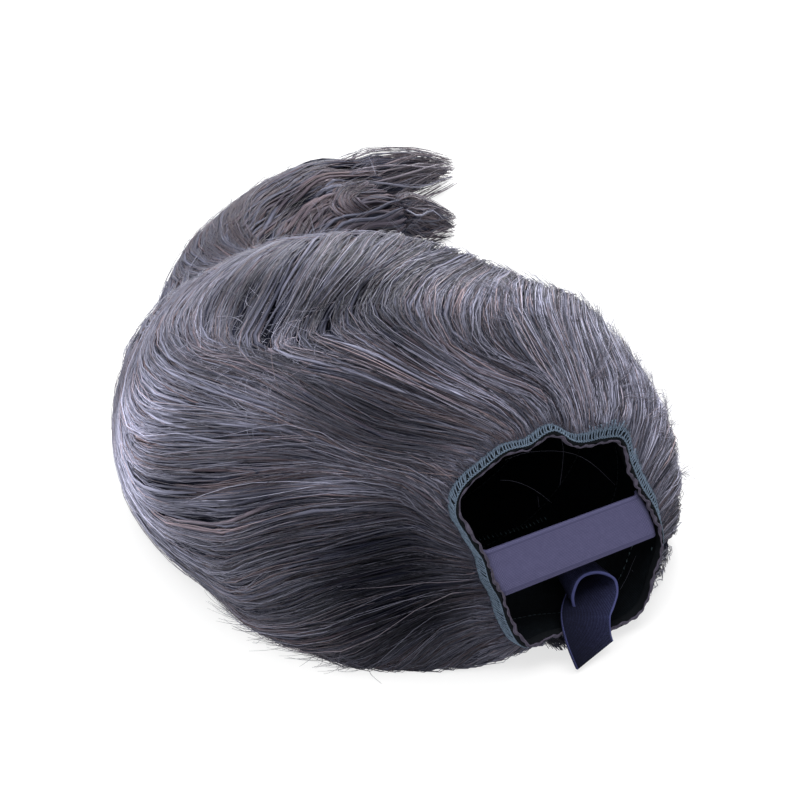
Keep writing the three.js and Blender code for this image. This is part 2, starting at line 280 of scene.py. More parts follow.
class CapForm(Loft):
    """The cap's middle surface, from the mouth's edge to the crown."""

    def edge_directions(self, angle: Array) -> tuple[Array, Array, Array]:
        """Directions at the mouth's edge.

        Args:
            angle: Degrees round the mouth.

        Returns:
            Unit vectors along the edge, away from the mouth, and outwards.
        """
        zero = np.zeros_like(angle)
        edge = self.point(zero, angle)
        along = unit(self.point(zero, angle + 1) - self.point(zero, angle - 1))
        inward = unit(self.point(zero + 0.02, angle) - edge)
        return along, inward, unit(np.cross(inward, along))

    def reach(self, angle: Array) -> Array:
        """How far the binding's outside leg goes back from the edge: further at the left ear."""
        away = (np.mod(angle, 360.0) - 205.0) / 48.0
        return 5.2 + 2.4 * np.exp(-away * away)

    def flare(self, angle: Array) -> Array:
        """How far the leg stands off the wall at the right ear, for each millimetre back."""
        away = (np.mod(np.asarray(angle) + 180.0, 360.0) - 205.0) / 42.0
        return 0.9 * np.exp(-(away**4))

    def edge_point(self, angle: Array, back: Array, offset: Array) -> Array:
        """Points beside the mouth's edge.

        Args:
            angle: Degrees round the mouth.
            back: Distance from the edge along the wall.
            offset: Distance outwards from the wall's middle.

        Returns:
            The points.
        """
        angle = np.asarray(angle, float)
        _, inward, outward = self.edge_directions(angle)
        edge = self.point(np.zeros_like(angle), angle)
        back, offset = np.asarray(back, float), np.asarray(offset, float)
        offset = offset + self.flare(angle) * np.maximum(back, 0.0) * (offset > 0)
        return edge + inward * back[..., None] + outward * offset[..., None]


class Hollow(NamedTuple):
    """A dent in the hair's outer form, or a swell where its depth is less than 0."""

    x: float
    y: float
    z: float
    reach: float
    depth: float


HOLLOWS = (
    Hollow(-50, 27, 124, 24, 7),
    Hollow(-34, -82, 46, 26, 5),
    Hollow(49, 13, 140, 28, 3.5),
    Hollow(90, -20, 117, 30, -4),
)


class HairForm(Loft):
    """The hair's outer form: places from -1 to 0 lead from the binding up to the first section."""

    root_tuck = 1.0
    root_lift = 1.9
    leave_back = 9.0
    leave_lift = 13.0

    def __init__(self, sections: Sequence[Section], cap: CapForm) -> None:
        """Keeps the table's rows and the cap that the hair is sewn to."""
        super().__init__(sections)
        self.cap = cap

    def outer(self, place: Array, angle: Array, floor: bool = True) -> Array:
        """Points of the sections' skin, hollowed at its folds.

        Args:
            place: Section numbers with fractions, from 0.
            angle: Degrees round the section.
            floor: Whether the floor flattens it.

        Returns:
            The points.
        """
        point = super().point(place, angle, floor)
        core = smooth(self.rows, place)[..., :3]
        depth = np.zeros(point.shape[:-1])
        for hollow in HOLLOWS:
            away = np.linalg.norm(point - np.array(hollow[:3]), axis=-1) / hollow.reach
            depth += hollow.depth * np.exp(-away * away)
        return point + unit(core - point) * depth[..., None]

    def point(self, place: Array, angle: Array, floor: bool = True) -> Array:
        """Points of the form, from the roots at the binding to the ends of the lengths.

        Args:
            place: Section numbers with fractions, from -1.
            angle: Degrees round the section, or round the mouth at the binding.
            floor: Whether the floor flattens it.

        Returns:
            The points.
        """
        outer = self.outer(np.maximum(place, 0.0), angle, floor)
        t = np.clip(place + 1.0, 0.0, 1.0)[..., None]
        if np.all(t >= 1.0):
            return outer
        zero = np.zeros_like(place)
        angle = np.asarray(angle, float) + zero
        _, inward, outward = self.cap.edge_directions(angle)
        root = self.cap.edge_point(angle, self.cap.reach(angle) - self.root_tuck, zero + self.root_lift)
        leave = inward * self.leave_back + outward * self.leave_lift
        first = self.outer(zero, angle, floor)
        arrive = (self.outer(zero + 0.05, angle, floor) - first) / 0.05 * 0.8
        risen = (
            root * (2 * t**3 - 3 * t**2 + 1)
            + leave * (t**3 - 2 * t**2 + t)
            + first * (3 * t**2 - 2 * t**3)
            + arrive * (t**3 - t**2)
        )
        return np.where(t < 1.0, risen, outer)


class Guide(NamedTuple):
    """A combed line over the hair's form: its root's angle and its way, as places and angles."""

    root: float
    way: tuple[tuple[float, float], ...]
    start: float = -1.0


COMBED = (
    Guide(-30, ((0, -26), (1, -22), (2, -20), (3, -22), (4, -28), (5, -36))),
    Guide(5, ((0, 7), (0.7, 5), (1.5, 1), (2.4, -6), (3.3, -14), (4.4, -24))),
    Guide(22, ((0, 27), (0.5, 32), (1.2, 33), (2, 26), (3, 10), (4.2, -8))),
    Guide(48, ((0, 48), (0.6, 50), (1.4, 48), (2.2, 39), (3.2, 20), (4.4, 0))),
    Guide(58, ((0, 61), (0.6, 62), (1.3, 60), (2.1, 52), (3.2, 30), (4.5, 8))),
    Guide(66, ((0, 70), (0.7, 73), (1.6, 72), (2.5, 61), (3.5, 38), (4.7, 14))),
    Guide(76, ((0, 79), (0.9, 90), (1.7, 87), (2.5, 72), (3.6, 46), (4.9, 20))),
    Guide(83, ((0, 88), (1, 97), (2, 96), (2.8, 83), (3.8, 52), (5.1, 24))),
    Guide(95, ((0, 96), (1.2, 100), (2.4, 102), (3.1, 92), (4, 58), (5.3, 30))),
    Guide(105, ((0, 106), (1.2, 108), (2.3, 112), (3.0, 108.5), (3.8, 86), (5.2, 52))),
    Guide(108, ((0, 109.5), (1.5, 113), (2.7, 119.5), (3.25, 118), (3.85, 98), (5.3, 64))),
    Guide(110, ((0, 110.5), (1.5, 114.5), (2.8, 122), (3.4, 121.5), (3.95, 105), (5.4, 72))),
)
CURLED = (
    Guide(109, ((0, 111), (1.3, 114), (2.6, 123), (3.35, 124), (3.95, 106), (5.4, 74))),
    Guide(122, ((0, 125), (1.5, 127), (3.1, 127), (4.4, 132), (5.5, 118), (6.4, 88))),
    Guide(136, ((0, 135), (1.6, 134), (3, 137), (4.6, 141), (6, 135), (6.8, 108))),
    Guide(148, ((0, 142), (1.5, 136), (3, 148), (4.6, 161), (5.8, 148), (6.9, 118))),
    Guide(157, ((0, 146), (1.2, 146), (2.6, 164), (4.2, 178), (5.4, 160), (6.8, 128))),
    Guide(171, ((0, 160), (1.2, 167), (2.6, 187), (3.9, 192), (5, 182), (6.5, 152))),
    Guide(188, ((0, 186), (0.8, 184), (1.8, 192), (2.8, 201), (4, 203), (5, 200))),
    Guide(210, ((0, 203), (0.7, 202), (1.5, 204), (2.4, 207), (3.4, 210), (4.6, 208))),
    Guide(235, ((0, 230), (0.7, 228), (1.5, 226), (2.4, 226), (3.4, 228), (4.6, 226))),
)
NAPE = (
    Guide(235, ((0, 230), (0.7, 228), (1.5, 226), (2.4, 226), (3.4, 228), (4.6, 226))),
    Guide(270, ((0, 270), (0.8, 270), (1.8, 270), (3, 268), (4.2, 266), (5.5, 264))),
    Guide(330, ((0, 334), (1, 338), (2, 340), (3, 338), (4, 332), (5, 324))),
)
TAIL_STARTS = {-40: 4.0, 0: 4.0, 40: 4.1, 80: 4.9, 120: 6.3, 160: 6.0, 200: 4.8, 225: 4.2}
TAIL = tuple(
    Guide(turn, tuple((place, turn) for place in (first + 0.9, 7.4, 8.5, 9.7, 10.9, 12)), first)
    for turn, first in TAIL_STARTS.items()
)
ROLL = tuple(
    Guide(
        78 + 2 * step,
        tuple(
            (7.0 + 0.5 * step + drift, angle)
            for drift, angle in ((0.2, 92), (0.5, 104), (0.85, 117), (1.2, 129), (1.6, 141), (2.0, 152))
        ),
        7.0 + 0.5 * step,
    )
    for step in range(5)
)
CURL = tuple(
    Guide(
        80 + 2 * step,
        tuple(
            (10.7 + 0.17 * step + drift, angle)
            for drift, angle in ((0.5, 77), (0.22, 71), (0.0, 63), (-0.02, 54), (0.08, 45), (0.25, 36))
        ),
        11.4 + 0.17 * step,
    )
    for step in range(4)
)


class Patch(NamedTuple):
    """A soft patch on the hair's form: its middle, how far it reaches each way, and what it adds."""

    place: float
    angle: float
    along: float
    around: float
    gain: float


# Painted light and shade on the hair: soft patches that lighten or darken its tone where light or shade
# falls, such as the sheen at the left edge and the shade low at the front and in the crease.
PAINTED_LIGHT_AND_SHADE = (
    Patch(4.6, 167, 0.55, 18, 3.7),
    Patch(4.1, 186, 0.7, 9, 1.8),
    Patch(4.2, 145, 0.5, 8, 0.5),
    Patch(5.9, 140, 0.8, 12, 0.4),
    Patch(4.3, 128, 0.4, 7, 0.1),
    Patch(0.5, 182, 1.2, 30, -0.95),
    Patch(0.0, 203, 0.6, 14, -0.4),
    Patch(0.35, 163, 0.5, 8, -0.25),
    Patch(1.2, 150, 0.5, 7, 0.3),
    Patch(1.9, 157, 0.5, 8, -0.5),
    Patch(2.2, 127, 0.5, 6, -0.3),
    Patch(0.9, 123, 1.1, 10, -0.6),
    Patch(0.5, 131, 0.35, 5, -0.3),
    Patch(1.0, 143, 0.5, 5, 0.5),
    Patch(2.8, 131, 0.4, 4, 0.5),
    Patch(2.9, 141, 0.7, 12, 0.25),
    Patch(3.4, 121, 0.3, 4, 0.4),
    Patch(2.95, 126, 0.25, 3, -0.7),
    Patch(3.3, 111, 0.35, 6, -0.75),
    Patch(0.5, 102, 0.6, 12, 1.2),
    Patch(1.8, 111, 0.6, 4, 0.8),
    Patch(3.1, 99, 0.5, 9, -0.85),
    Patch(2.25, 101, 0.4, 7, -0.7),
    Patch(4.6, 114, 0.5, 8, -0.8),
    Patch(4.2, 97, 0.6, 12, -0.3),
    Patch(1.2, 70, 0.4, 14, -0.25),
    Patch(2.2, 72, 0.5, 16, 1.15),
    Patch(1.5, 48, 0.5, 14, 0.5),
    Patch(1.4, 46, 0.3, 8, 1.1),
    Patch(0.2, 40, 0.8, 30, 1.4),
    Patch(0.1, -2, 0.7, 12, 0.15),
    Patch(-0.4, 30, 0.35, 28, -0.4),
    Patch(10, 90, 2.5, 120, -0.36),
    Patch(10.4, 84, 0.3, 14, -0.7),
    Patch(11.4, 84, 0.6, 10, 0.45),
    Patch(10.75, 58, 0.3, 12, 0.65),
    Patch(11.5, 40, 0.5, 16, -0.3),
)
BROWNER = (
    Patch(1.5, 114, 0.8, 6, 0.55),
    Patch(1.8, 133, 1.3, 2.5, 0.35),
    Patch(0.4, 112, 0.5, 4, 0.4),
    Patch(1.0, 175, 1.0, 25, 0.12),
    Patch(10.8, 75, 1.8, 80, 0.75),
)
UNDER = (Patch(3.35, 114, 0.45, 9, 3.5),)  # where the underlay lies deeper
DENSER = (Patch(4.2, 121, 0.5, 9, 1.5), Patch(4.7, 143, 0.5, 8, 1.2))  # where locks lie closer


def patched(patches: Sequence[Patch], place: Array, angle: Array) -> Array:
    """What soft patches add, in all, on the hair's form.

    Args:
        patches: The patches.
        place: Places on the form.
        angle: Angles there.

    Returns:
        The sum at each spot.
    """
    total = np.zeros(np.broadcast(place, angle).shape)
    for patch in patches:
        far = ((place - patch.place) / patch.along) ** 2 + ((angle - patch.angle) / patch.around) ** 2
        total += patch.gain * np.exp(-far)
    return total


class Flow:
    """Hair running along guides over the form; along counts the guides' waypoints from 0."""

    def __init__(self, form: HairForm, guides: Sequence[Guide]) -> None:
        """Keeps the form and the guides' tables.

        Args:
            form: The hair's form.
            guides: The guides, in the order of their roots.
        """
        self.form = form
        self.roots = np.array([guide.root for guide in guides], float)
        self.ways = np.array([((guide.start, guide.root), *guide.way) for guide in guides], float)
        self.last = self.ways.shape[1] - 1

    def spots(self, root: Array, along: Array) -> tuple[Array, Array]:
        """Places and angles on the form.

        Args:
            root: The strands' root angles, one a strand.
            along: Waypoint numbers with fractions, of shape (strands, stations).

        Returns:
            Places and angles, each of along's shape.
        """
        after = np.clip(np.searchsorted(self.roots, root), 1, len(self.roots) - 1)
        start, end = self.roots[after - 1], self.roots[after]
        share = np.clip((root - start) / (end - start), 0, 1)[:, None, None]
        way = self.ways[after - 1] * (1 - share) + self.ways[after] * share
        spot = smooth(way, along)
        return spot[..., 0], spot[..., 1]

    def point(self, root: Array, along: Array) -> Array:
        """Points on the form, from roots and waypoint numbers as for spots()."""
        return self.form.point(*self.spots(root, along))


def linear(colour: str) -> tuple[float, float, float, float]:
    """An sRGB hex colour as linear red, green, blue and alpha."""
    parts = [int(colour[i : i + 2], 16) / 255 for i in (1, 3, 5)]
    return (*(c / 12.92 if c <= 0.04045 else ((c + 0.055) / 1.055) ** 2.4 for c in parts), 1.0)


def add_node(tree: Tree, kind: str, inputs: dict[Any, Any], **settings: Any) -> bpy.types.Node:
    """Adds a node with its settings, values and links.

    Args:
        tree: The node tree.
        kind: The node's type name without its prefix.
        inputs: Input names or numbers, each with a value or with the socket that feeds it.
        **settings: The node's own properties.

    Returns:
        The new node.
    """
    node = tree.nodes.new("ShaderNode" + kind)
    for name, value in settings.items():
        setattr(node, name, value)
    for name, value in inputs.items():
        if isinstance(value, bpy.types.NodeSocket):
            tree.links.new(value, node.inputs[name])
        else:
            node.inputs[name].default_value = value
    return node


def reckon(tree: Tree, operation: str, *values: Any, clamp: bool = False) -> Any:
    """The socket of a Math node on values, or on the sockets that feed them."""
    inputs = dict(enumerate(values))
    return add_node(tree, "Math", inputs, operation=operation, use_clamp=clamp).outputs[0]


def blend(tree: Tree, share: Any, first: Any, second: Any) -> Any:
    """The socket of a colour between two, each a colour or the socket that feeds it."""
    return add_node(tree, "Mix", {0: share, 6: first, 7: second}, data_type="RGBA").outputs[2]


def new_material(name: str) -> tuple[Material, Tree]:
    """An empty node material.

    Args:
        name: Its name.

    Returns:
        The material and its node tree.
    """
    material = bpy.data.materials.new(name)
    material.use_nodes = True
    material.node_tree.nodes.clear()
    return material, material.node_tree


def close_material(tree: Tree, inputs: dict[Any, Any]) -> None:
    """Adds the surface shader with its inputs, and the output."""
    shader = add_node(tree, "BsdfPrincipled", inputs)
    add_node(tree, "OutputMaterial", {"Surface": shader.outputs["BSDF"]})


@dataclass(frozen=True)
class HairFinish:
    """Human hair, combed and brushed: dark fibres whose smooth cuticle gives long bright lines."""

    name: str = "human hair, brown-black"
    dark: str = "#06091a"
    light: str = "#d7d7f1"
    brown: str = "#d6bdc1"
    roughness: float = 0.4
    specular: float = 0.3
    streak: float = 0.0  # depth of the fibres' relief on a broad lock, in millimetres
    fibre: float = 0.45  # width of a fibre on a broad lock, drawn far coarser than 0.07 to show

    def material(self) -> Material:
        """Builds the finish; tone and brown are attributes of the mesh.

        Returns:
            The material.
        """
        material, tree = new_material(self.name)
        tone = add_node(tree, "Attribute", {}, attribute_name="tone").outputs["Fac"]
        brown = add_node(tree, "Attribute", {}, attribute_name="brown").outputs["Fac"]
        inputs: dict[Any, Any] = {"Roughness": self.roughness, "Specular IOR Level": self.specular}
        if self.streak > 0:
            lay = add_node(tree, "UVMap", {}, uv_map="lay").outputs["UV"]
            stretch = (1 / self.fibre, 0.02 / self.fibre, 1.0)
            combed = add_node(tree, "Mapping", {"Vector": lay, "Scale": stretch}).outputs["Vector"]
            noise = {"Vector": combed, "Scale": 0.6, "Detail": 3.0, "Roughness": 0.7}
            fibres = add_node(tree, "TexNoise", noise).outputs["Fac"]
            relief = {"Height": fibres, "Strength": 1.0, "Distance": self.streak * MM}
            inputs["Normal"] = add_node(tree, "Bump", relief).outputs["Normal"]
            lines = reckon(tree, "MULTIPLY_ADD", fibres, 2.4, -0.55, clamp=True)
            tone = reckon(tree, "MULTIPLY", tone, lines)
        light = blend(tree, brown, linear(self.light), linear(self.brown))
        inputs["Base Color"] = blend(tree, tone, linear(self.dark), light)
        close_material(tree, inputs)
        return material


@dataclass(frozen=True)
class ClothFinish:
    """A woven or knitted cloth: matt threads in two tones, with relief at the thread's spacing."""

    name: str
    deep: str
    high: str
    thread: float
    stretch: Pair = (1.0, 1.0)
    relief: float = 0.15
    roughness: float = 0.8
    specular: float = 0.3
    mottle: float = 0.6
    selvage: float = 0.0  # distance of a line from the cloth's edges, or 0 for none
    line: float = -0.35  # how much lighter the line is
    breadth: float = 25.0
    fade: float = 0.0  # painted shade: how much darker the cloth is painted towards its far edge

    def material(self) -> Material:
        """Builds the finish on the cloth's own map, in millimetres.

        Returns:
            The material.
        """
        material, tree = new_material(self.name)
        lay = add_node(tree, "UVMap", {}, uv_map="lay").outputs["UV"]
        scale = (self.stretch[0] / self.thread, self.stretch[1] / self.thread, 1.0)
        scaled = add_node(tree, "Mapping", {"Vector": lay, "Scale": scale}).outputs["Vector"]
        wave = {"Vector": scaled, "Scale": 0.5, "Distortion": 1.2, "Detail": 2.0, "Detail Scale": 1.5}
        warp = add_node(tree, "TexWave", wave, bands_direction="X").outputs["Fac"]
        weft = add_node(tree, "TexWave", wave, bands_direction="Y").outputs["Fac"]
        woven = reckon(tree, "MULTIPLY", warp, weft)
        mottle = add_node(tree, "TexNoise", {"Vector": scaled, "Scale": 0.35, "Detail": 4.0}).outputs["Fac"]
        share = reckon(tree, "MULTIPLY_ADD", woven, 0.6, reckon(tree, "MULTIPLY", mottle, self.mottle))
        if self.selvage > 0:
            across = add_node(tree, "SeparateXYZ", {0: lay}).outputs["Y"]
            away = reckon(tree, "PINGPONG", across, self.breadth / 2)
            lies = reckon(tree, "COMPARE", away, self.selvage, 0.5)
            share = reckon(tree, "MULTIPLY_ADD", lies, self.line, share)
        # Painted shade: the cloth is painted darker towards its far edge.
        if self.fade > 0:
            far = add_node(tree, "SeparateXYZ", {0: lay}).outputs["Y"]
            share = reckon(tree, "MULTIPLY_ADD", far, -self.fade / self.breadth, share)
        colour = add_node(tree, "ValToRGB", {"Fac": share})
        for stop, place, tone in zip(colour.color_ramp.elements, (0.15, 0.8), (self.deep, self.high)):
            stop.position = place
            stop.color = linear(tone)
        relief = {"Height": share, "Strength": 0.8, "Distance": self.relief * MM}
        bump = add_node(tree, "Bump", relief).outputs["Normal"]
        inputs = {
            "Base Color": colour.outputs["Color"],
            "Roughness": self.roughness,
            "Specular IOR Level": self.specular,
            "Normal": bump,
        }
        close_material(tree, inputs)
        return material


@dataclass(frozen=True)
class PaperFinish:
    """Matt white sweep paper under the wig, lit through from below so that shadows stay pale."""

    name: str = "white sweep paper"
    colour: str = "#868686"
    glow: float = 0.7
    roughness: float = 0.9

    def material(self) -> Material:
        """Builds the finish.

        Returns:
            The material.
        """
        material, tree = new_material(self.name)
        inputs = {
            "Base Color": linear(self.colour),
            "Roughness": self.roughness,
            "Emission Color": (1.0, 1.0, 1.0, 1.0),
            "Emission Strength": self.glow,
        }
        close_material(tree, inputs)
        return material


def to_frame(points: Array) -> Array:
    """Points of the maker's frame in millimetres, in the shared frame in metres."""
    return (points + MAKER_ORIGIN) * MM


def settle(piece: Piece, slot: str, material: Material, *nodes: str) -> None:
    """Dresses a piece, hangs it on the wig's body and hides the CAD nodes that it stands for.

    Args:
        piece: The finished piece.
        slot: The record's material slot; not used.
        material: Its finish.
        *nodes: CAD nodes that it replaces.
    """
    piece.data.materials.clear()
    piece.data.materials.append(material)
    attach(piece, BODY)
    if nodes:
        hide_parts(*nodes)
    LOG.info("%s: %d faces", piece.name, len(piece.data.polygons))


def read_points(mesh: bpy.types.Mesh) -> Array:
    """Reads a mesh's points.

    Args:
        mesh: The mesh.

    Returns:
        The points, one a row.
    """
    flat = np.zeros(len(mesh.vertices) * 3)
    mesh.vertices.foreach_get("co", flat)
    return flat.reshape(-1, 3)


def write_attribute(mesh: bpy.types.Mesh, title: str, values: Array) -> None:
    """Gives a mesh an attribute with a value for each of its points."""
    attribute = mesh.attributes.new(title, "FLOAT", "POINT")
    attribute.data.foreach_set("value", values.ravel().astype(np.float32))


def cloth_grid(name: str, points: Array, sizes: tuple[float, float], wall: float) -> Piece:
    """Shapes a grid into a sheet of cloth, joins what meets, and gives it its thickness.

    Args:
        name: The piece's name.
        points: Its points of shape (rows, columns, 3), in the maker's frame.
        sizes: The cloth's width and length in millimetres, for its map.
        wall: Its thickness, or 0 for a skin that closes on itself.

    Returns:
        The piece.
    """
    rows, columns = points.shape[0] - 1, points.shape[1] - 1
    bpy.ops.object.select_all(action="DESELECT")
    bpy.ops.mesh.primitive_grid_add(x_subdivisions=columns, y_subdivisions=rows, size=2)
    piece = bpy.context.object
    piece.name = piece.data.name = name
    flat = read_points(piece.data)
    column = np.rint((flat[:, 0] + 1) / 2 * columns).astype(int)
    row = np.rint((flat[:, 1] + 1) / 2 * rows).astype(int)
    piece.data.vertices.foreach_set("co", to_frame(points[row, column]).ravel())
    lay = piece.data.uv_layers[0]
    lay.name = "lay"
    spots = np.zeros(len(piece.data.loops) * 2)
    lay.data.foreach_get("uv", spots)
    lay.data.foreach_set("uv", (spots.reshape(-1, 2) * np.array(sizes)).ravel())
    bpy.ops.object.mode_set(mode="EDIT")
    bpy.ops.mesh.select_all(action="SELECT")
    bpy.ops.mesh.remove_doubles(threshold=1e-6)
    bpy.ops.mesh.normals_make_consistent(inside=False)
    bpy.ops.object.mode_set(mode="OBJECT")
    if wall > 0:
        thicken = piece.modifiers.new("wall", "SOLIDIFY")
        thicken.thickness = wall * MM
        thicken.offset = 0
        bpy.ops.object.modifier_apply(modifier=thicken.name)
    bpy.ops.object.shade_smooth()
    return piece


class Rows:
    """A record of arrays that hold a row for each of many things."""

    def part(self, chosen: Any) -> Any:
        """A record of the chosen rows."""
        return type(self)(*(getattr(self, item.name)[chosen] for item in fields(self)))


@dataclass
class Tubes(Rows):
    """Many thin tubes: threads, strands or flat locks, one row of stations a tube.

    tone and brown are given for each tube, or for each of its stations.
    """

    paths: Array
    ups: Array
    width: Array
    thick: Array
    tone: Array
    brown: Array

    def piece(self, name: str, sides: int) -> Piece:
        """Joins the tubes into one mesh.

        Args:
            name: The piece's name.
            sides: Facets round a tube.

        Returns:
            The piece, with tone and brown as attributes and its map in millimetres.
        """
        count, stations = self.paths.shape[:2]
        way = unit(np.gradient(self.paths, axis=1))
        side = unit(np.cross(way, self.ups))
        lift = np.cross(side, way)
        turn = np.radians(90) + np.arange(sides) * 2 * np.pi / sides
        across = np.cos(turn)[None, None, :] * self.width[..., None]
        rise = np.sin(turn)[None, None, :] * self.thick[..., None]
        aside = side[:, :, None] * across[..., None]
        points = self.paths[:, :, None] + aside + lift[:, :, None] * rise[..., None]
        points[..., 2] = np.maximum(points[..., 2], LEAST_HEIGHT)
        index = np.arange(count * stations * sides).reshape(count, stations, sides)
        ahead = np.roll(index, -1, axis=2)
        walls = np.stack([index[:, :-1], index[:, 1:], ahead[:, 1:], ahead[:, :-1]], -1).reshape(-1, 4)
        ends = np.concatenate([index[:, 0], index[:, -1, ::-1]])
        mesh = bpy.data.meshes.new(name)
        mesh.from_pydata(to_frame(points.reshape(-1, 3)), [], walls.tolist() + ends.tolist())
        mesh.polygons.foreach_set("use_smooth", np.ones(len(mesh.polygons), bool))
        for title, value in (("tone", self.tone), ("brown", self.brown)):
            write_attribute(mesh, title, np.broadcast_to(value.reshape(count, -1, 1), index.shape))
        lane = np.arange(count)[:, None, None] * MAP_LANE
        run = np.broadcast_to(runs(self.paths)[..., None], across.shape)
        spots = np.stack([lane + across, run], -1).reshape(-1, 2)
        corners = np.zeros(len(mesh.loops), int)
        mesh.loops.foreach_get("vertex_index", corners)
        mesh.uv_layers.new(name="lay").data.foreach_set("uv", spots[corners].ravel())
        piece = bpy.data.objects.new(name, mesh)
        bpy.context.scene.collection.objects.link(piece)
        return piece


def plain_tubes(paths: Array, up: Array, radius: float, tone: float = 0.5) -> Tubes:
    """Round tubes of one radius.

    Args:
        paths: Points of shape (tubes, stations, 3).
        up: A direction, or one for each station, that isn't along the tubes.
        radius: The tubes' radius.
        tone: Their tone.

    Returns:
        The tubes.
    """
    shape = paths.shape[:2]
    ups = np.broadcast_to(up, paths.shape)
    thick = np.full(shape, radius)
    return Tubes(paths, ups, thick, thick, np.full(shape[0], tone), np.zeros(shape[0]))


class Mark(NamedTuple):
    """A row of stitches on the cap's wall: its ends and each stitch's slant, as places and angles."""

    start: Pair
    end: Pair
    count: int
    slant: Pair


MARKS = (
    Mark((1.5, -36.0), (1.5, -54.0), 6, (0.02, 0.9)),
    Mark((3.45, -84.0), (3.15, -58.0), 17, (0.06, 0.5)),
    Mark((0.62, -32.0), (0.62, -32.6), 2, (0.04, 0.6)),
)


@dataclass
class CapNet:
    """The stretch net cap with its weft seams, seen inside the mouth."""

    form: CapForm
    wall: float = 0.9
    around: int = 96
    steps: int = 32
    seams: tuple[float, ...] = (1.5, 2.4, 3.3, 4.2)
    stitch: float = 2.2
    stitch_gap: float = 0.9
    thread: float = 0.28
    finish: ClothFinish = ClothFinish(
        "black stretch net", "#030405", "#0e1318", 1.4, relief=0.4, specular=0.05
    )
    seam_finish: ClothFinish = ClothFinish("dark sewing thread", "#1b2126", "#2f393f", 0.6, specular=0.2)
    mark_finish: ClothFinish = ClothFinish(
        "pale teal sewing thread", "#2c3d43", "#667a7f", 0.6, specular=0.2
    )

    def build(self) -> None:
        """Builds the wall, its seams and the stitches that catch the light."""
        angle = np.linspace(0, 360, self.around + 1)
        place = np.linspace(0, self.form.last, self.steps + 1)
        points = self.form.point(*crossed(place, angle))
        pole = np.broadcast_to(CROWN, points[:1].shape)
        wall = cloth_grid("cap_wall", np.concatenate([points, pole]), (340.0, 190.0), self.wall)
        settle(wall, "net", self.finish.material(), "cap_net")
        self._seams()

    def _seams(self) -> None:
        """Rows of stitches that hold the wefts, on the inside of the wall."""
        rows = []
        for place in self.seams:
            ring = self.form.point(np.full(721, place), np.linspace(0, 360, 721))
            count = int(path_length(ring) / (self.stitch + self.stitch_gap))
            start = np.arange(count) * 360 / count
            reach = 360 / count * self.stitch / (self.stitch + self.stitch_gap)
            share = np.linspace(0, 1, 3)
            angle = start[:, None] + reach * share[None, :]
            spot = np.full_like(angle, place)
            inner = self.wall / 2 + self.thread * 0.8 * np.sin(np.pi * (0.15 + 0.7 * share))
            rows.append(self.form.point(spot, angle) - self.form.normal(spot, angle) * inner[None, :, None])
        paths = np.concatenate(rows)
        tubes = plain_tubes(paths, unit(paths - self.form.rows[3, :3]), self.thread)
        settle(tubes.piece("weft_seams", 3), "net", self.seam_finish.material())
        self._marks()

    def _marks(self) -> None:
        """Short stitches of paler thread low on the inside of the wall."""
        paths = []
        for mark in MARKS:
            at = np.linspace(0, 1, mark.count)[:, None]
            share = np.linspace(-0.5, 0.5, 3)[None, :]
            place = mark.start[0] + (mark.end[0] - mark.start[0]) * at + mark.slant[0] * share
            angle = mark.start[1] + (mark.end[1] - mark.start[1]) * at + mark.slant[1] * share
            inner = self.wall / 2 + self.thread
            paths.append(self.form.point(place, angle) - self.form.normal(place, angle) * inner)
        joined = np.concatenate(paths)
        tubes = plain_tubes(joined, unit(joined - self.form.rows[3, :3]), self.thread)
        settle(tubes.piece("weft_marks", 4), "net", self.mark_finish.material())


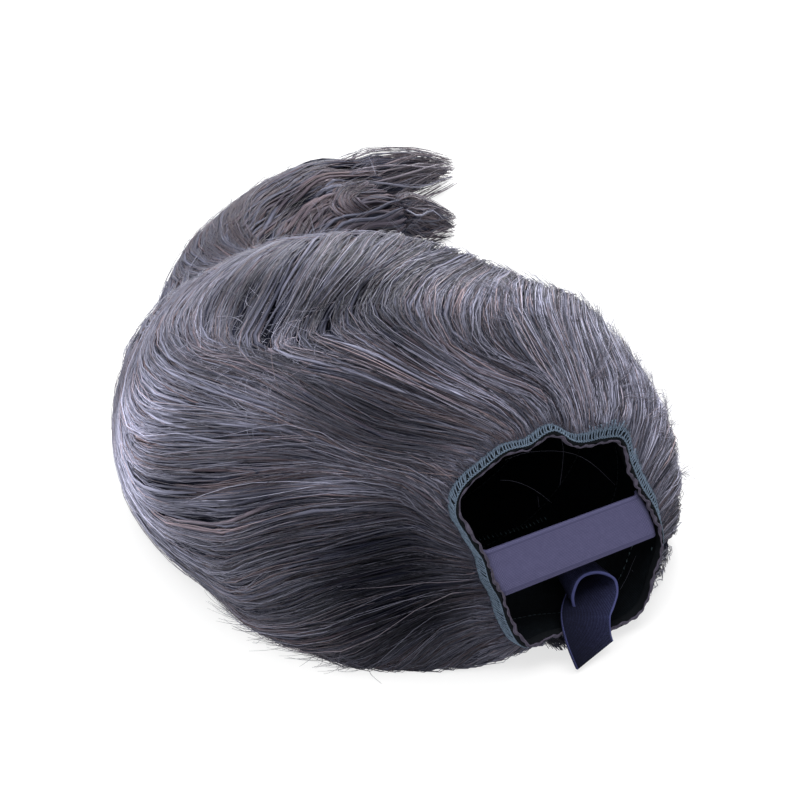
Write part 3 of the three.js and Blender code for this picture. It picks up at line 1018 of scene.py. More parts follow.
@dataclass
class EdgeBinding:
    """The overlocked tape folded round the mouth's edge, with its stitches and rolled fold."""

    form: CapForm
    tape: float = 0.6
    inside: float = 3.5
    leg: float = 0.8
    around: int = 240
    pitch: float = 1.5
    thread: float = 0.34
    near: float = 0.3
    roll: float = 0.62
    reach_out: Pair = (-0.6, 1.8)  # how far rungs pass the tape's edge
    lean: Pair = (0.8, 2.6)  # their slant, in stitches
    ruffles: tuple[int, ...] = (11, 23, 41, 67)  # waves of the fold round the mouth
    # The tape is painted darker towards its inside leg, as painted shade inside the mouth.
    tape_finish: ClothFinish = ClothFinish(
        "cotton binding tape", "#080b0f", "#27323d", 0.8, specular=0.1, breadth=15.0, fade=0.9
    )
    thread_finish: ClothFinish = ClothFinish(
        "spun overlock thread", "#334150", "#8496ab", 0.5, specular=0.2
    )
    fold_finish: ClothFinish = ClothFinish("folded tape edge", "#302d38", "#5b5666", 0.7, specular=0.15)

    def build(self) -> None:
        """Builds the tape, the stitches over it and the roll on its inner edge."""
        angle = np.linspace(0, 360, self.around + 1)
        bend = np.radians(np.linspace(90, 270, 7))
        back = np.concatenate([np.zeros(6), 0.7 * np.cos(bend), np.linspace(0.6, self.inside, 4)])
        rise = np.concatenate([np.full(6, self.leg), self.leg * np.sin(bend), np.full(4, -self.leg)])
        share = np.concatenate([np.linspace(1.0, 0.1, 6), np.zeros(11)])
        depth = back[:, None] + share[:, None] * self.form.reach(angle)[None, :]
        points = self.form.edge_point(*np.broadcast_arrays(angle[None, :], depth, rise[:, None]))
        tape = cloth_grid("binding_tape", points, (350.0, 15.0), self.tape)
        settle(tape, "binding", self.tape_finish.material(), "edge_binding")
        self._stitches()
        self._fold()

    def _edge_angles(self, count: int) -> Array:
        """Angles that are evenly spaced along the edge.

        Args:
            count: How many.

        Returns:
            The angles, from 0.
        """
        fine = np.linspace(0, 360, 2881)
        edge = self.form.point(np.zeros_like(fine), fine)
        run = runs(edge)
        return np.interp(np.arange(count) * run[-1] / count, run, fine)

    def _stitches(self) -> None:
        """Threads across the tape, and the looper threads that lock them at both sides."""
        fine = np.linspace(0, 360, 1441)
        edge = self.form.point(np.zeros_like(fine), fine)
        count = int(path_length(edge) / self.pitch)
        angle = self._edge_angles(count)
        step = 360 / count
        share = np.linspace(0, 1, 7)
        rng = np.random.default_rng(5)
        reach_out = rng.uniform(*self.reach_out, count)
        lean = rng.uniform(*self.lean, count)[:, None]
        far = (self.form.reach(angle) + reach_out)[:, None]
        back = far + (self.near - far) * share[None, :]
        lift = self.leg + self.tape / 2 + self.thread * (0.3 + 1.1 * np.sin(np.pi * (0.08 + 0.84 * share)))
        slant = angle[:, None] + step * lean * (share[None, :] - 0.5)
        paths = self.form.edge_point(*np.broadcast_arrays(slant, back, lift[None, :]))
        _, _, outward = self.form.edge_directions(slant)
        rungs = plain_tubes(paths, outward, self.thread)
        settle(rungs.piece("overlock_rungs", 5), "binding", self.thread_finish.material())
        self._looper("overlock_outer_loops", 0.8, 1.5, count)
        self._looper("overlock_inner_loops", 0.1, 0.4, count)

    def _looper(self, name: str, back: float, swing: float, count: int) -> None:
        """A thread that loops from stitch to stitch along a line of the tape.

        Args:
            name: The piece's name.
            back: The line's distance from the edge, as a share of the leg.
            swing: How far the loops reach to either side.
            count: How many stitches it joins.
        """
        beat = 5
        angle = self._edge_angles(count)
        turn = np.concatenate([angle, angle[:1] + 360])
        steps = np.arange(count * beat + 1) / beat
        slide = np.interp(steps, np.arange(count + 1), turn)
        wave = np.sin(2 * np.pi * steps)
        lean = np.cos(2 * np.pi * steps) * 0.25 * 360 / count
        lift = self.leg + self.tape / 2 + self.thread * (0.9 + 0.5 * np.cos(2 * np.pi * steps))
        path = self.form.edge_point(slide + lean, back * self.form.reach(slide) + swing * wave, lift)
        _, _, outward = self.form.edge_directions(slide)
        loops = plain_tubes(path[None], outward[None], self.thread * 0.9)
        settle(loops.piece(name, 4), "binding", bpy.data.materials[self.thread_finish.name])

    def _fold(self) -> None:
        """The rolled, slightly ruffled fold on the mouth's inner edge."""
        angle = np.linspace(0, 360, 721)
        rng = np.random.default_rng(11)
        phases = rng.uniform(0, 2 * np.pi, len(self.ruffles))
        waves = (np.sin(np.radians(angle) * t + p) for t, p in zip(self.ruffles, phases))
        ruffle = sum(waves) / len(self.ruffles)
        back = -1.3 - 0.5 * ruffle
        rise = -0.75 + 1.2 * np.roll(ruffle, 9)
        path = self.form.edge_point(angle, back, rise)
        _, _, outward = self.form.edge_directions(angle)
        thick = self.roll * (1.0 + 0.7 * np.roll(ruffle, 40))[None]
        roll = Tubes(path[None], outward[None], thick * 0.8, thick * 1.4, np.full(1, 0.5), np.zeros(1))
        settle(roll.piece("binding_fold", 7), "binding", self.fold_finish.material())


class Turn(NamedTuple):
    """A station of the nape strap: its near edge, and how its width swings and pitches."""

    x: float
    y: float
    z: float
    swing: float
    pitch: float


STRAP = (
    Turn(27, -120, 15.5, 20, 0),
    Turn(27, -117, 24, 10, 0),
    Turn(33, -114.5, 31, 0, 0),
    Turn(43, -115, 30.5, -4, 0),
    Turn(51, -118, 25, -6, 0),
    Turn(50.5, -122.5, 20, -13, 0),
    Turn(44.5, -128, 18, -32, 0),
    Turn(38.5, -132.8, 17, -70, 2),
    Turn(36.5, -136, 11, -92, -2),
    Turn(37.6, -136.8, 5.2, -100, -8),
)


@dataclass
class Elastic:
    """The flat woven elastic: the band across the mouth and the looped nape strap."""

    form: CapForm
    width: float = 25.0
    wall: float = 1.3
    tab: float = 3.6
    behind: float = 1.2
    rounding: float = 2.4
    inset: float = 2.3
    left_height: float = -5.2
    right_height: float = -8.2
    across: int = 12
    finish: ClothFinish = ClothFinish(
        "woven elastic, lavender grey",
        "#484764",
        "#706e92",
        thread=0.7,
        stretch=(1.0, 0.6),
        relief=0.06,
        roughness=0.9,
        specular=0.1,
        mottle=0.25,
        selvage=1.7,
    )
    # The strap is the band's lavender elastic painted darker all over as painted shade, darker still towards
    # its far edge, with a lighter line along its edges as a painted highlight.
    strap_finish: ClothFinish = replace(
        finish,
        name="woven elastic in painted shade",
        deep="#090b1a",
        high="#484c78",
        relief=0.02,
        selvage=0.2,
        line=0.6,
        fade=0.4,
    )

    def build(self) -> None:
        """Builds the band and the strap."""
        heights = np.linspace(self.width / 2, -self.width / 2, self.across + 1)
        threads = np.stack([self._thread(height) for height in heights])
        length = path_length(threads[self.across // 2])
        band = cloth_grid("band", threads, (length, self.width), self.wall)
        settle(band, "elastic", self.finish.material(), "elastic_band")
        row = smooth(np.array(STRAP, float), np.linspace(0, len(STRAP) - 1, 73))
        swing, pitch = np.radians(row[:, 3]), np.radians(row[:, 4])
        level = np.cos(pitch)
        way = np.stack([np.sin(swing) * level, np.cos(swing) * level, np.sin(pitch)], -1)
        reach = np.linspace(0, self.width, self.across + 1)
        grid = row[None, :, :3] + way[None] * reach[:, None, None]
        length = path_length(grid[self.across // 2])
        strap = cloth_grid("strap", grid, (length, self.width), self.wall)
        settle(strap, "elastic", self.strap_finish.material(), "nape_strap")

    def _rim_angle(self, height: float, low: float, high: float) -> float:
        """The angle at which the mouth's edge reaches a height in its plane, by halving.

        Args:
            height: The height.
            low: An angle where the edge is lower.
            high: An angle where it is higher.

        Returns:
            The angle between them.
        """
        for _ in range(40):
            between = (low + high) / 2
            risen = float(mouth_radius(np.array(between))) * np.sin(np.radians(between))
            low, high = (low, between) if risen > height else (between, high)
        return (low + high) / 2

    def _thread(self, height: float) -> Array:
        """One thread of the band: along the wall, round into the mouth, across and out again.

        Args:
            height: Its height from the band's middle.

        Returns:
            Its points.
        """
        left_angle = self._rim_angle(self.left_height + height, 225, 153)
        right_angle = self._rim_angle(self.right_height + height, -45, 27)
        left_end, left, right, right_end = (
            self.form.edge_point(np.array(angle), np.array(back), np.array(-self.inset))
            for angle, back in (
                (left_angle, self.tab),
                (left_angle, self.behind),
                (right_angle, self.behind),
                (right_angle, self.tab),
            )
        )
        crossing = left + (right - left) * np.linspace(0.07, 0.93, 27)[:, None]
        return np.concatenate(
            [
                left_end[None],
                self._corner(left_end, left, right),
                crossing,
                self._corner(left, right, right_end),
                right_end[None],
            ]
        )

    def _corner(self, before: Array, corner: Array, after: Array) -> Array:
        """Rounds a corner of a thread.

        Args:
            before: The point before it.
            corner: The corner.
            after: The point after it.

        Returns:
            Points round it.
        """
        enter = corner + unit(before - corner) * self.rounding
        leave = corner + unit(after - corner) * self.rounding
        t = np.linspace(0, 1, 9)[:, None]
        return enter * (1 - t) ** 2 + corner * 2 * t * (1 - t) + leave * t**2


class Sweep(Enum):
    """The ways that the hair is combed, each with its guides."""

    COMBED = "combed"
    CURLED = "curled"
    NAPE = "nape"
    TAIL = "tail"
    ROLL = "roll"
    CURL = "curl"


GUIDES = {
    Sweep.COMBED: COMBED,
    Sweep.CURLED: CURLED,
    Sweep.NAPE: NAPE,
    Sweep.TAIL: TAIL,
    Sweep.ROLL: ROLL,
    Sweep.CURL: CURL,
}


@dataclass(frozen=True)
class Comb:
    """How one sweep is filled: its locks, their strands and flat tresses, and how they lie."""

    locks: int
    strands: int
    tresses: int
    width: float = 6.0
    length: float = 115.0
    wave: float = 0.8
    curl: float = 70.0
    rooted: float = 0.4
    brown: float = 0.03
    stations: int = 8
    sparkle: float = 0.42
    broad: float = 1.0
    relief: tuple[Patch, ...] = ()

    def waved(self, lines: "Lines", own: "Locks") -> Array:
        """How far lines swing aside along their runs, each with its lock."""
        return self.wave * np.sin(2 * np.pi * lines.run / self.curl + own.phase[:, None])


COMBS = {
    Sweep.COMBED: Comb(
        310, 15, 4, sparkle=0.6, relief=(Patch(3.35, 112, 0.3, 6, -1.2), Patch(1.6, 30, 0.8, 25, 1.0))
    ),
    Sweep.CURLED: Comb(310, 14, 4, sparkle=0.32, relief=(Patch(3.5, 115, 0.35, 11, 2.5),)),
    Sweep.NAPE: Comb(40, 9, 3),
    Sweep.TAIL: Comb(
        locks=140, strands=7, tresses=6, width=7.0, length=90.0, wave=2.2, curl=52.0, rooted=0.0, brown=0.15,
        stations=10, sparkle=0.12, broad=1.5,
    ),
    Sweep.ROLL: Comb(
        locks=75, strands=11, tresses=4, width=5.0, length=60.0, curl=40.0, rooted=0.0, brown=0.06,
        sparkle=0.15, broad=1.3, relief=(Patch(9.4, 135, 1.2, 30, 0.5),),
    ),
    Sweep.CURL: Comb(
        locks=14, strands=14, tresses=4, width=3.0, length=32.0, wave=0.5, curl=30.0, rooted=0.0, brown=0.1,
        sparkle=0.25, relief=(Patch(10.8, 58, 0.6, 22, 1.8),),
    ),
}


@dataclass
class Lines:
    """Lines along a flow: shares of their lengths, points, directions out and aside, runs, and spots.

    risen is how far each station is clear of the roots, and free says which lines aren't sewn in.
    """

    share: Array
    points: Array
    out: Array
    side: Array
    run: Array
    place: Array
    angle: Array
    risen: Array
    free: Array


@dataclass
class Locks(Rows):
    """Locks of hair on a flow: where each lies and how it looks."""

    root: Array
    middle: Array
    speed: Array
    rooted: Array
    lift: Array
    tone: Array
    brown: Array
    phase: Array


@dataclass(frozen=True)
class Underlay:
    """Dark hair under the locks: where it starts and ends, how deep it lies and how light it is."""

    start: float = -0.4
    end: float = 11.5
    rows: int = 60
    columns: int = 73
    edge_depth: float = 2.2
    depth: float = 4.5
    sinks_over: float = 0.8  # places from the start to the full depth
    tail_depth: float = 7.0  # what the tail's end adds to the depth
    tail_from: float = 10.3
    tail_over: float = 1.2
    floor: float = 0.6
    wall: float = 1.0
    tone: float = 0.2
    tail_tone: float = 0.45  # what the free lengths add to the tone
    lighter_from: float = 50.0  # y at which they start
    lighter_over: float = 60.0

    def sunk(self, place: Array) -> Array:
        """Its depth at places of the form."""
        deeper = (self.depth - self.edge_depth) * ease((place - self.start) / self.sinks_over)
        return self.edge_depth + deeper + self.tail_depth * ease((place - self.tail_from) / self.tail_over)

    def stain(self, piece: Piece) -> None:
        """Gives a piece the attributes of dark hair, less dark along the free lengths.

        Args:
            piece: The piece.
        """
        back = read_points(piece.data)[:, 1] / MM - MAKER_ORIGIN[1]
        tone = PLAIN * (self.tone + self.tail_tone * ease((back - self.lighter_from) / self.lighter_over))
        write_attribute(piece.data, "tone", tone)
        write_attribute(piece.data, "brown", 0 * tone)


@dataclass(frozen=True)
class Groom:
    """How strands, flat tresses and broad locks lie and shine, whatever their sweep."""

    reach: Pair = (0.65, 1.2)  # a strand's length, as shares of its lock's
    slip: float = 0.25  # how far a strand slips along its lock, as a share of half its length
    spread: float = 0.5  # its deviation aside, as a share of the lock's width
    gather: float = 0.4  # how much closer strands lie at the lock's tip
    loose: float = 0.06  # the share of strands that wander
    wander: float = 4.0  # how far those drift aside
    drift: float = 0.9  # how far the others do
    swing: Pair = (18, 40)  # the length of hair to a radian of drift
    deepest: float = -2.8
    strand_top: float = 0.6
    tress_top: float = -0.5
    loose_lift: float = 1.2
    start_tuck: float = 2.2  # how deep a strand that isn't sewn in starts
    tip_tuck: float = 1.2
    tuck: float = 0.2  # the share of a strand that each tuck takes
    root_rise: float = 0.15  # how much of its rise a strand has at its root, as a share
    root_spread: float = 0.35  # how much of its shift aside
    butt: float = 0.35  # its thickness at the start, as a share
    butt_over: float = 0.12
    thins: float = 0.75  # what it loses towards the tip
    thins_over: float = 0.3
    gloss: Pair = (0.7, 0.6)  # how light the darkest lock is, and what the lightest adds
    lock_reach: float = 0.6  # half a broad lock's length, as a share of its sweep's length
    lock_lift: float = 0.7  # how unevenly locks lie
    lock_sinks: float = 0.6  # how much of that a broad lock follows
    lock_rise: float = 0.25  # how much of its depth it has at its root
    lock_tuck: float = 1.6
    lock_tuck_over: float = 0.25
    lock_floor: float = 0.5
    lock_butts: Pair = (0.4, 0.1)  # the widths at the start of sewn and of free locks, as shares
    lock_butt_over: float = 0.3
    lock_thins: float = 0.85
    lock_thins_over: float = 0.4
    lock_width: float = 0.75
    lock_thick: float = 0.7
    lock_shine: Pair = (0.4, 0.5)
    lock_brownness: Pair = (0.3, 0.9)
    lock_brown: float = 0.7
    tress_thick: float = 0.3
    tress_width: Pair = (0.6, 1.5)
    tress_shine: Pair = (0.4, 0.8)
    strand_thick: Pair = (0.6, 1.1)
    shine: float = 0.277
    shine_thick: float = 0.4  # how much thicker a shining strand is
    glint: float = 0.26
    glints: float = 0.1  # the share of strands that glint
    brown: float = 0.2  # the share of brown strands where no patch adds any
    brownness: Pair = (0.4, 1.0)
    crispest: float = 1.25
    crisp_loss: float = 0.85
    crisp_from: float = 3.8
    crisp_over: float = 2.5
    dive_depth: float = 17.0
    dive_from: float = 11.0

    def tucked(self, lines: Lines) -> Array:
        """How deep strands are tucked in at both ends."""
        start = lines.free * self.start_tuck * (1 - ease(lines.share / self.tuck))
        return start + self.tip_tuck * ease((lines.share - (1 - self.tuck)) / self.tuck)

    def crisp(self, place: Array) -> Array:
        """How much lines differ in tone: less where they lie further back."""
        return self.crispest - self.crisp_loss * ease((place - self.crisp_from) / self.crisp_over)

    def dive(self, place: Array, share: Array) -> Array:
        """How deep lines run into the tail's end, each by its own share, so that their tips fill it."""
        return self.dive_depth * share[:, None] * ease(place - self.dive_from)


@dataclass(frozen=True)
class Tip:
    """How the strands of an end lock run out to its tip, over a dark core."""

    strands: int = 300
    tresses: int = 75  # how many of them are flat and broad
    broad: float = 5.0
    stations: int = 8
    reach: Pair = (0.7, 1.06)  # shares of the lock's length
    turn: Pair = (-40, 220)
    twist: float = 50.0  # degrees that a strand turns at most round the lock
    out: Pair = (0.55, 1.05)  # shares of the lock's half sizes
    leave: float = 0.75  # how far out strands start, as a share
    leave_over: float = 0.35
    wave: float = 2.2
    waves: Pair = (4, 9)
    lift: Pair = (-2.0, 1.0)
    thins: float = 0.7
    thins_over: float = 0.4
    tone: float = 0.14
    shine: float = 0.34
    brown: float = 0.75
    core_reach: float = 0.9
    core_stations: int = 13
    core_columns: int = 33
    core_floor: float = 0.4
    core_sizes: tuple[tuple[float, ...], tuple[float, ...]] = ((0.0, 0.3, 1.0), (0.6, 0.8, 0.12))


@dataclass
class Hair:
    """The hair: an underlay in its outer form, broad locks on it, and strands along the locks."""

    cap: CapForm
    seed: int = 7
    strand: float = 0.165
    bend_share: float = 0.2  # how strongly bends draw stations together
    shortest: float = 0.4  # waypoints that a line covers at least
    leave: float = 0.8  # waypoints over which hair rises from its roots
    slowest: float = 8.0  # the least length of hair to a waypoint
    plan_roots: int = 161  # the grid on which locks are spread
    plan_steps: int = 85
    early_steps: int = 40  # those that tell how fast sewn hair runs
    sparsest: float = 0.45  # how many locks lie where the form faces away, as a share
    most: int = 3800  # strands in a piece
    favour: Triple = (-0.45, -0.45, 0.77)  # the way that the thickest hair faces
    under: Underlay = Underlay()
    groom: Groom = Groom()
    tip: Tip = Tip()
    strand_finish: HairFinish = HairFinish()
    lock_finish: HairFinish = HairFinish(
        "human hair, broad lock", "#040611", "#6d6f83", "#786562", roughness=0.7, specular=0.0, streak=0.35
    )
    tress_finish: HairFinish = HairFinish(
        "human hair, flat tress", "#06091a", "#b2b3cb", "#b19a9d", 0.6, 0.05, streak=0.15, fibre=0.3
    )
    form: HairForm = field(init=False)
    rng: np.random.Generator = field(init=False)

    def __post_init__(self) -> None:
        """Makes the form and the random source."""
        self.form = HairForm(HAIR, self.cap)
        self.rng = np.random.default_rng(self.seed)

    def build(self) -> None:
        """Builds the underlay, then each sweep's locks and strands."""
        fibre = self.strand_finish.material()
        broad = self.lock_finish.material()
        flat = self.tress_finish.material()
        self._underlay(broad)
        for sweep, comb in COMBS.items():
            flow = Flow(self.form, GUIDES[sweep])
            locks = self._plan(flow, comb)
            strands = self._strands(flow, comb, locks, comb.strands)
            for number, start in enumerate(range(0, len(strands.paths), self.most), 1):
                some = strands.part(slice(start, start + self.most))
                settle(some.piece(f"hair_{sweep.value}_{number}", 3), "hair", fibre)
            tresses = self._strands(flow, comb, locks, comb.tresses, True)
            settle(tresses.piece(f"hair_{sweep.value}_tresses", 3), "hair", flat)
            settle(self._ribbons(flow, comb, locks).piece(f"hair_{sweep.value}_locks", 4), "hair", broad)
        for name, sections in END_LOCKS.items():
            self._end_lock(name, Loft(sections), fibre)

    def _underlay(self, material: Material) -> None:
        """Dark hair under the locks, in the form of the whole, closed behind, and in the end locks.

        Args:
            material: Its finish.
        """
        under = self.under
        place = np.linspace(under.start, under.end, under.rows)
        spots = crossed(place, np.linspace(0, 360, under.columns))
        sunk = under.sunk(place)[:, None, None] + patched(UNDER, *spots)[..., None]
        points = self.form.point(*spots) - self.form.normal(*spots) * sunk
        points[..., 2] = np.maximum(points[..., 2], under.floor)
        pole = np.broadcast_to(points[-1].mean(0), points[:1].shape)
        whole = cloth_grid("hair_underlay", np.concatenate([points, pole]), (500.0, 500.0), under.wall)
        under.stain(whole)
        settle(whole, "hair", material, "hair_crown", "hair_lengths")
        for name, sections in END_LOCKS.items():
            self._core(f"hair_lock_{name}", Loft(sections), material)

    def _core(self, name: str, loft: Loft, material: Material) -> None:
        """The dark core of an end lock, which stands for the lock's node.

        Args:
            name: The node's name.
            loft: The lock's form.
            material: Its finish.
        """
        tip = self.tip
        place = np.linspace(0, tip.core_reach * loft.last, tip.core_stations)
        points = loft.point(*crossed(place, np.linspace(0, 360, tip.core_columns)))
        middle = points[:, :-1].mean(1, keepdims=True)
        shrink = np.interp(np.linspace(0, 1, tip.core_stations), *tip.core_sizes)[:, None, None]
        points = middle + (points - middle) * shrink
        points[..., 2] = np.maximum(points[..., 2], tip.core_floor)
        ends = [np.broadcast_to(middle[k], points[:1].shape) for k in (0, -1)]
        core = cloth_grid(name + "_core", np.concatenate([ends[0], points, ends[1]]), (80.0, 60.0), 0.0)
        self.under.stain(core)
        settle(core, "hair", material, name)

    def _plan(self, flow: Flow, comb: Comb) -> Locks:
        """Spreads locks evenly over the skin that a flow covers, by a sequence that leaves no gaps.

        Args:
            flow: The guides.
            comb: How many locks, and their sizes.

        Returns:
            The locks.
        """
        rng = self.rng
        roots = np.linspace(flow.roots[0], flow.roots[-1], self.plan_roots)
        alongs = np.linspace(0, flow.last, self.plan_steps)
        along = np.broadcast_to(alongs, (self.plan_roots, self.plan_steps))
        points = flow.point(roots, along)
        over = points[1:, :-1] - points[:-1, :-1]
        ahead = points[:-1, 1:] - points[:-1, :-1]
        area = np.linalg.norm(np.cross(over, ahead), axis=-1)
        place, angle = flow.spots(roots, along)
        facing = (self.form.normal(place, angle)[:-1, :-1] * unit(np.array(self.favour))).sum(-1)
        weight = area * at_least(self.sparsest, ease((facing + 0.3) / 0.8))
        weight = weight * (1 + patched(DENSER, place, angle)[:-1, :-1])
        number = np.arange(comb.locks)
        run_over = np.cumsum(weight.sum(axis=1))
        row = np.searchsorted(run_over, np.mod(0.5 + EVEN_STEPS[0] * number, 1.0) * run_over[-1])
        run_along = np.cumsum(weight[row], axis=1)
        wanted = np.mod(0.5 + EVEN_STEPS[1] * number, 1.0)[:, None] * run_along[:, -1:]
        column = (run_along < wanted).sum(axis=1)
        root = roots[row] + rng.uniform(0, 1, comb.locks) * (roots[1] - roots[0])
        middle = alongs[column] + rng.uniform(0, 1, comb.locks) * alongs[1]
        firm = int(comb.locks * comb.rooted)
        rooted = np.arange(comb.locks) < firm
        edge = runs(points[:, 0])
        sewn = (np.arange(firm) + rng.uniform(0, 1, firm)) / max(firm, 1) * edge[-1]
        root[:firm] = np.interp(sewn, edge, roots)
        pace = np.linalg.norm(ahead, axis=-1) / alongs[1]
        nearest = np.clip(np.searchsorted(roots, root) - 1, 0, len(pace) - 1)
        early = pace[nearest, : self.early_steps].mean(axis=1)
        speed = np.maximum(np.where(rooted, early, pace[row, column]), self.slowest)
        lift = rng.normal(0.0, self.groom.lock_lift, comb.locks)
        tone = rng.uniform(0, 1, comb.locks)
        brown = rng.uniform(0, 1, comb.locks) < comb.brown
        brown = brown * rng.uniform(*self.groom.lock_brownness, comb.locks)
        phase = rng.uniform(0, 2 * np.pi, comb.locks)
        return Locks(root, middle, speed, rooted, lift, tone, brown, phase)

    def _lay(self, flow: Flow, comb: Comb, own: Locks, middle: Array, half: Array) -> Lines:
        """Lines along a flow, with their stations closer together where they bend.

        Args:
            flow: The guides.
            comb: The sweep's sizes.
            own: The lock that each line belongs to.
            middle: Waypoint numbers of the lines' middles.
            half: Half their lengths, in waypoints.

        Returns:
            The lines.
        """
        start = np.where(own.rooted, 0.0, np.clip(middle - half, 0.0, flow.last - self.shortest))
        end = np.clip(np.where(own.rooted, 2 * half, middle + half), start + self.shortest, flow.last)
        fine = np.linspace(0, 1, 5 * comb.stations)
        step = np.diff(flow.point(own.root, start[:, None] + (end - start)[:, None] * fine), axis=1)
        turn = np.arccos(np.clip((unit(step[:, 1:]) * unit(step[:, :-1])).sum(-1), -1, 1))
        effort = np.linalg.norm(step, axis=-1)
        effort = effort / np.maximum(effort.sum(axis=1, keepdims=True), 1e-6)
        effort[:, 1:] += self.bend_share * turn
        spent = np.cumsum(np.pad(effort, ((0, 0), (1, 0))), axis=1)
        even = np.linspace(0, 1, comb.stations)
        share = np.stack([np.interp(even, row / row[-1], fine) for row in spent])
        along = start[:, None] + (end - start)[:, None] * share
        place, angle = flow.spots(own.root, along)
        points = self.form.point(place, angle)
        out = self.form.normal(place, angle)
        side = unit(np.cross(out, np.gradient(points, axis=1)))
        free = (start > 0.01)[:, None]
        return Lines(share, points, out, side, runs(points), place, angle, ease(along / self.leave), free)

    def _strands(self, flow: Flow, comb: Comb, locks: Locks, each: int, flat: bool = False) -> Tubes:
        """Strands or flat tresses along the locks of a sweep, tucked in at both ends.

        Args:
            flow: The guides.
            comb: The sweep's sizes.
            locks: Its locks.
            each: How many lie on a lock.
            flat: Whether they are flat tresses.

        Returns:
            The strands.
        """
        rng, groom = self.rng, self.groom
        own = locks.part(np.repeat(np.arange(comb.locks), each))
        count = len(own.root)
        half = 0.5 * comb.length * rng.uniform(*groom.reach, count) / own.speed
        middle = own.middle + rng.uniform(-groom.slip, groom.slip, count) * half
        lines = self._lay(flow, comb, own, middle, half)
        share = lines.share
        aside = rng.normal(0, groom.spread, count) * comb.width
        gather = 1 - groom.gather * ease(share)
        loose = (rng.uniform(0, 1, count) < groom.loose) & (not flat)
        swing = lines.run / rng.uniform(*groom.swing, count)[:, None] + rng.uniform(*PHASES, count)[:, None]
        drift = np.where(loose, groom.wander, groom.drift)[:, None] * np.sin(swing)
        top = groom.tress_top if flat else groom.strand_top
        depth = rng.uniform(groom.deepest, top, count) + own.lift + groom.loose_lift * loose
        rise = depth[:, None] * at_least(groom.root_rise, lines.risen) - groom.tucked(lines)
        rise = rise + patched(comb.relief, lines.place, lines.angle) - groom.dive(lines.place, own.tone)
        shift = aside[:, None] * gather + comb.waved(lines, own) + drift
        shift = shift * at_least(groom.root_spread, lines.risen)
        paths = lines.points + lines.side * shift[..., None] + lines.out * rise[..., None]
        paths[..., 2] = np.maximum(paths[..., 2], FLOOR_CLEARANCE)
        taper = at_least(groom.butt, ease(share / groom.butt_over))
        taper = taper * thinned(share, groom.thins, groom.thins_over)
        brown = self._warmth(lines, own.brown)
        gloss = groom.gloss[0] + groom.gloss[1] * own.tone
        if flat:
            width = comb.broad * rng.uniform(*groom.tress_width, count)[:, None] * taper
            tone = self._tone(lines, gloss * rng.uniform(*groom.tress_shine, count))
            return Tubes(paths, lines.out, width, np.minimum(groom.tress_thick, width), tone, brown)
        shine = gloss * (groom.shine + comb.sparkle * (rng.uniform(0, 1, count) ** 2 - 1 / 3))
        glint = groom.glint * (rng.uniform(0, 1, count) < groom.glints)
        thick = rng.uniform(*groom.strand_thick, count) + groom.shine_thick * shine
        thick = self.strand * thick[:, None] * taper
        return Tubes(paths, lines.out, thick, thick, self._tone(lines, shine, glint), brown)

    def _tone(self, lines: Lines, shine: Array, glint: Any = 0.0) -> Array:
        """How light the stations of lines are, with painted light and shade from soft patches laid over each
        line's own tone.

        Args:
            lines: The lines.
            shine: How light each line is.
            glint: What a line adds where it catches the light.

        Returns:
            Tones from 0 to 1.
        """
        crisp = self.groom.crisp(lines.place)
        level = shine.mean()
        here = level + (shine[:, None] - level) * crisp
        # painted light and shade from the patches
        painted_light_and_shade = np.clip(1 + patched(PAINTED_LIGHT_AND_SHADE, lines.place, lines.angle), 0.05, 4.0)
        return np.clip(PLAIN * (here * painted_light_and_shade + np.reshape(glint, (-1, 1)) * crisp), 0, 1)

    def _warmth(self, lines: Lines, share: Array) -> Array:
        """How brown each line is: none or much, by the share of brown hair where it lies.

        Args:
            lines: The lines.
            share: What each line's lock adds to that share.

        Returns:
            Shares of brown.
        """
        middle = lines.place.shape[1] // 2
        share = share + self.groom.brown + patched(BROWNER, lines.place[:, middle], lines.angle[:, middle])
        count = len(share)
        return (self.rng.uniform(0, 1, count) < share) * self.rng.uniform(*self.groom.brownness, count)

    def _ribbons(self, flow: Flow, comb: Comb, locks: Locks) -> Tubes:
        """Broad, flat locks under the strands.

        Args:
            flow: The guides.
            comb: The sweep's sizes.
            locks: Its locks.

        Returns:
            The locks as flat tubes.
        """
        groom = self.groom
        lines = self._lay(flow, comb, locks, locks.middle, groom.lock_reach * comb.length / locks.speed)
        share = lines.share
        depth = (groom.deepest + groom.lock_sinks * locks.lift)[:, None]
        depth = depth * at_least(groom.lock_rise, lines.risen)
        depth = depth - groom.lock_tuck * (1 - ease(share / groom.lock_tuck_over)) * lines.free
        depth = depth - groom.lock_tuck * ease((share - (1 - groom.lock_tuck_over)) / groom.lock_tuck_over)
        depth = depth + patched(comb.relief, lines.place, lines.angle) - groom.dive(lines.place, locks.tone)
        wave = comb.waved(lines, locks)
        paths = lines.points + lines.side * wave[..., None] + lines.out * depth[..., None]
        paths[..., 2] = np.maximum(paths[..., 2], FLOOR_CLEARANCE + groom.lock_floor)
        butt = np.where(locks.rooted, *groom.lock_butts)[:, None]
        taper = at_least(butt, ease(share / groom.lock_butt_over))
        taper = taper * thinned(share, groom.lock_thins, groom.lock_thins_over)
        width = groom.lock_width * comb.width * taper
        thick = np.minimum(groom.lock_thick, width)
        tone = self._tone(lines, groom.lock_shine[0] + groom.lock_shine[1] * locks.tone)
        return Tubes(paths, lines.out, width, thick, tone, locks.brown * groom.lock_brown)

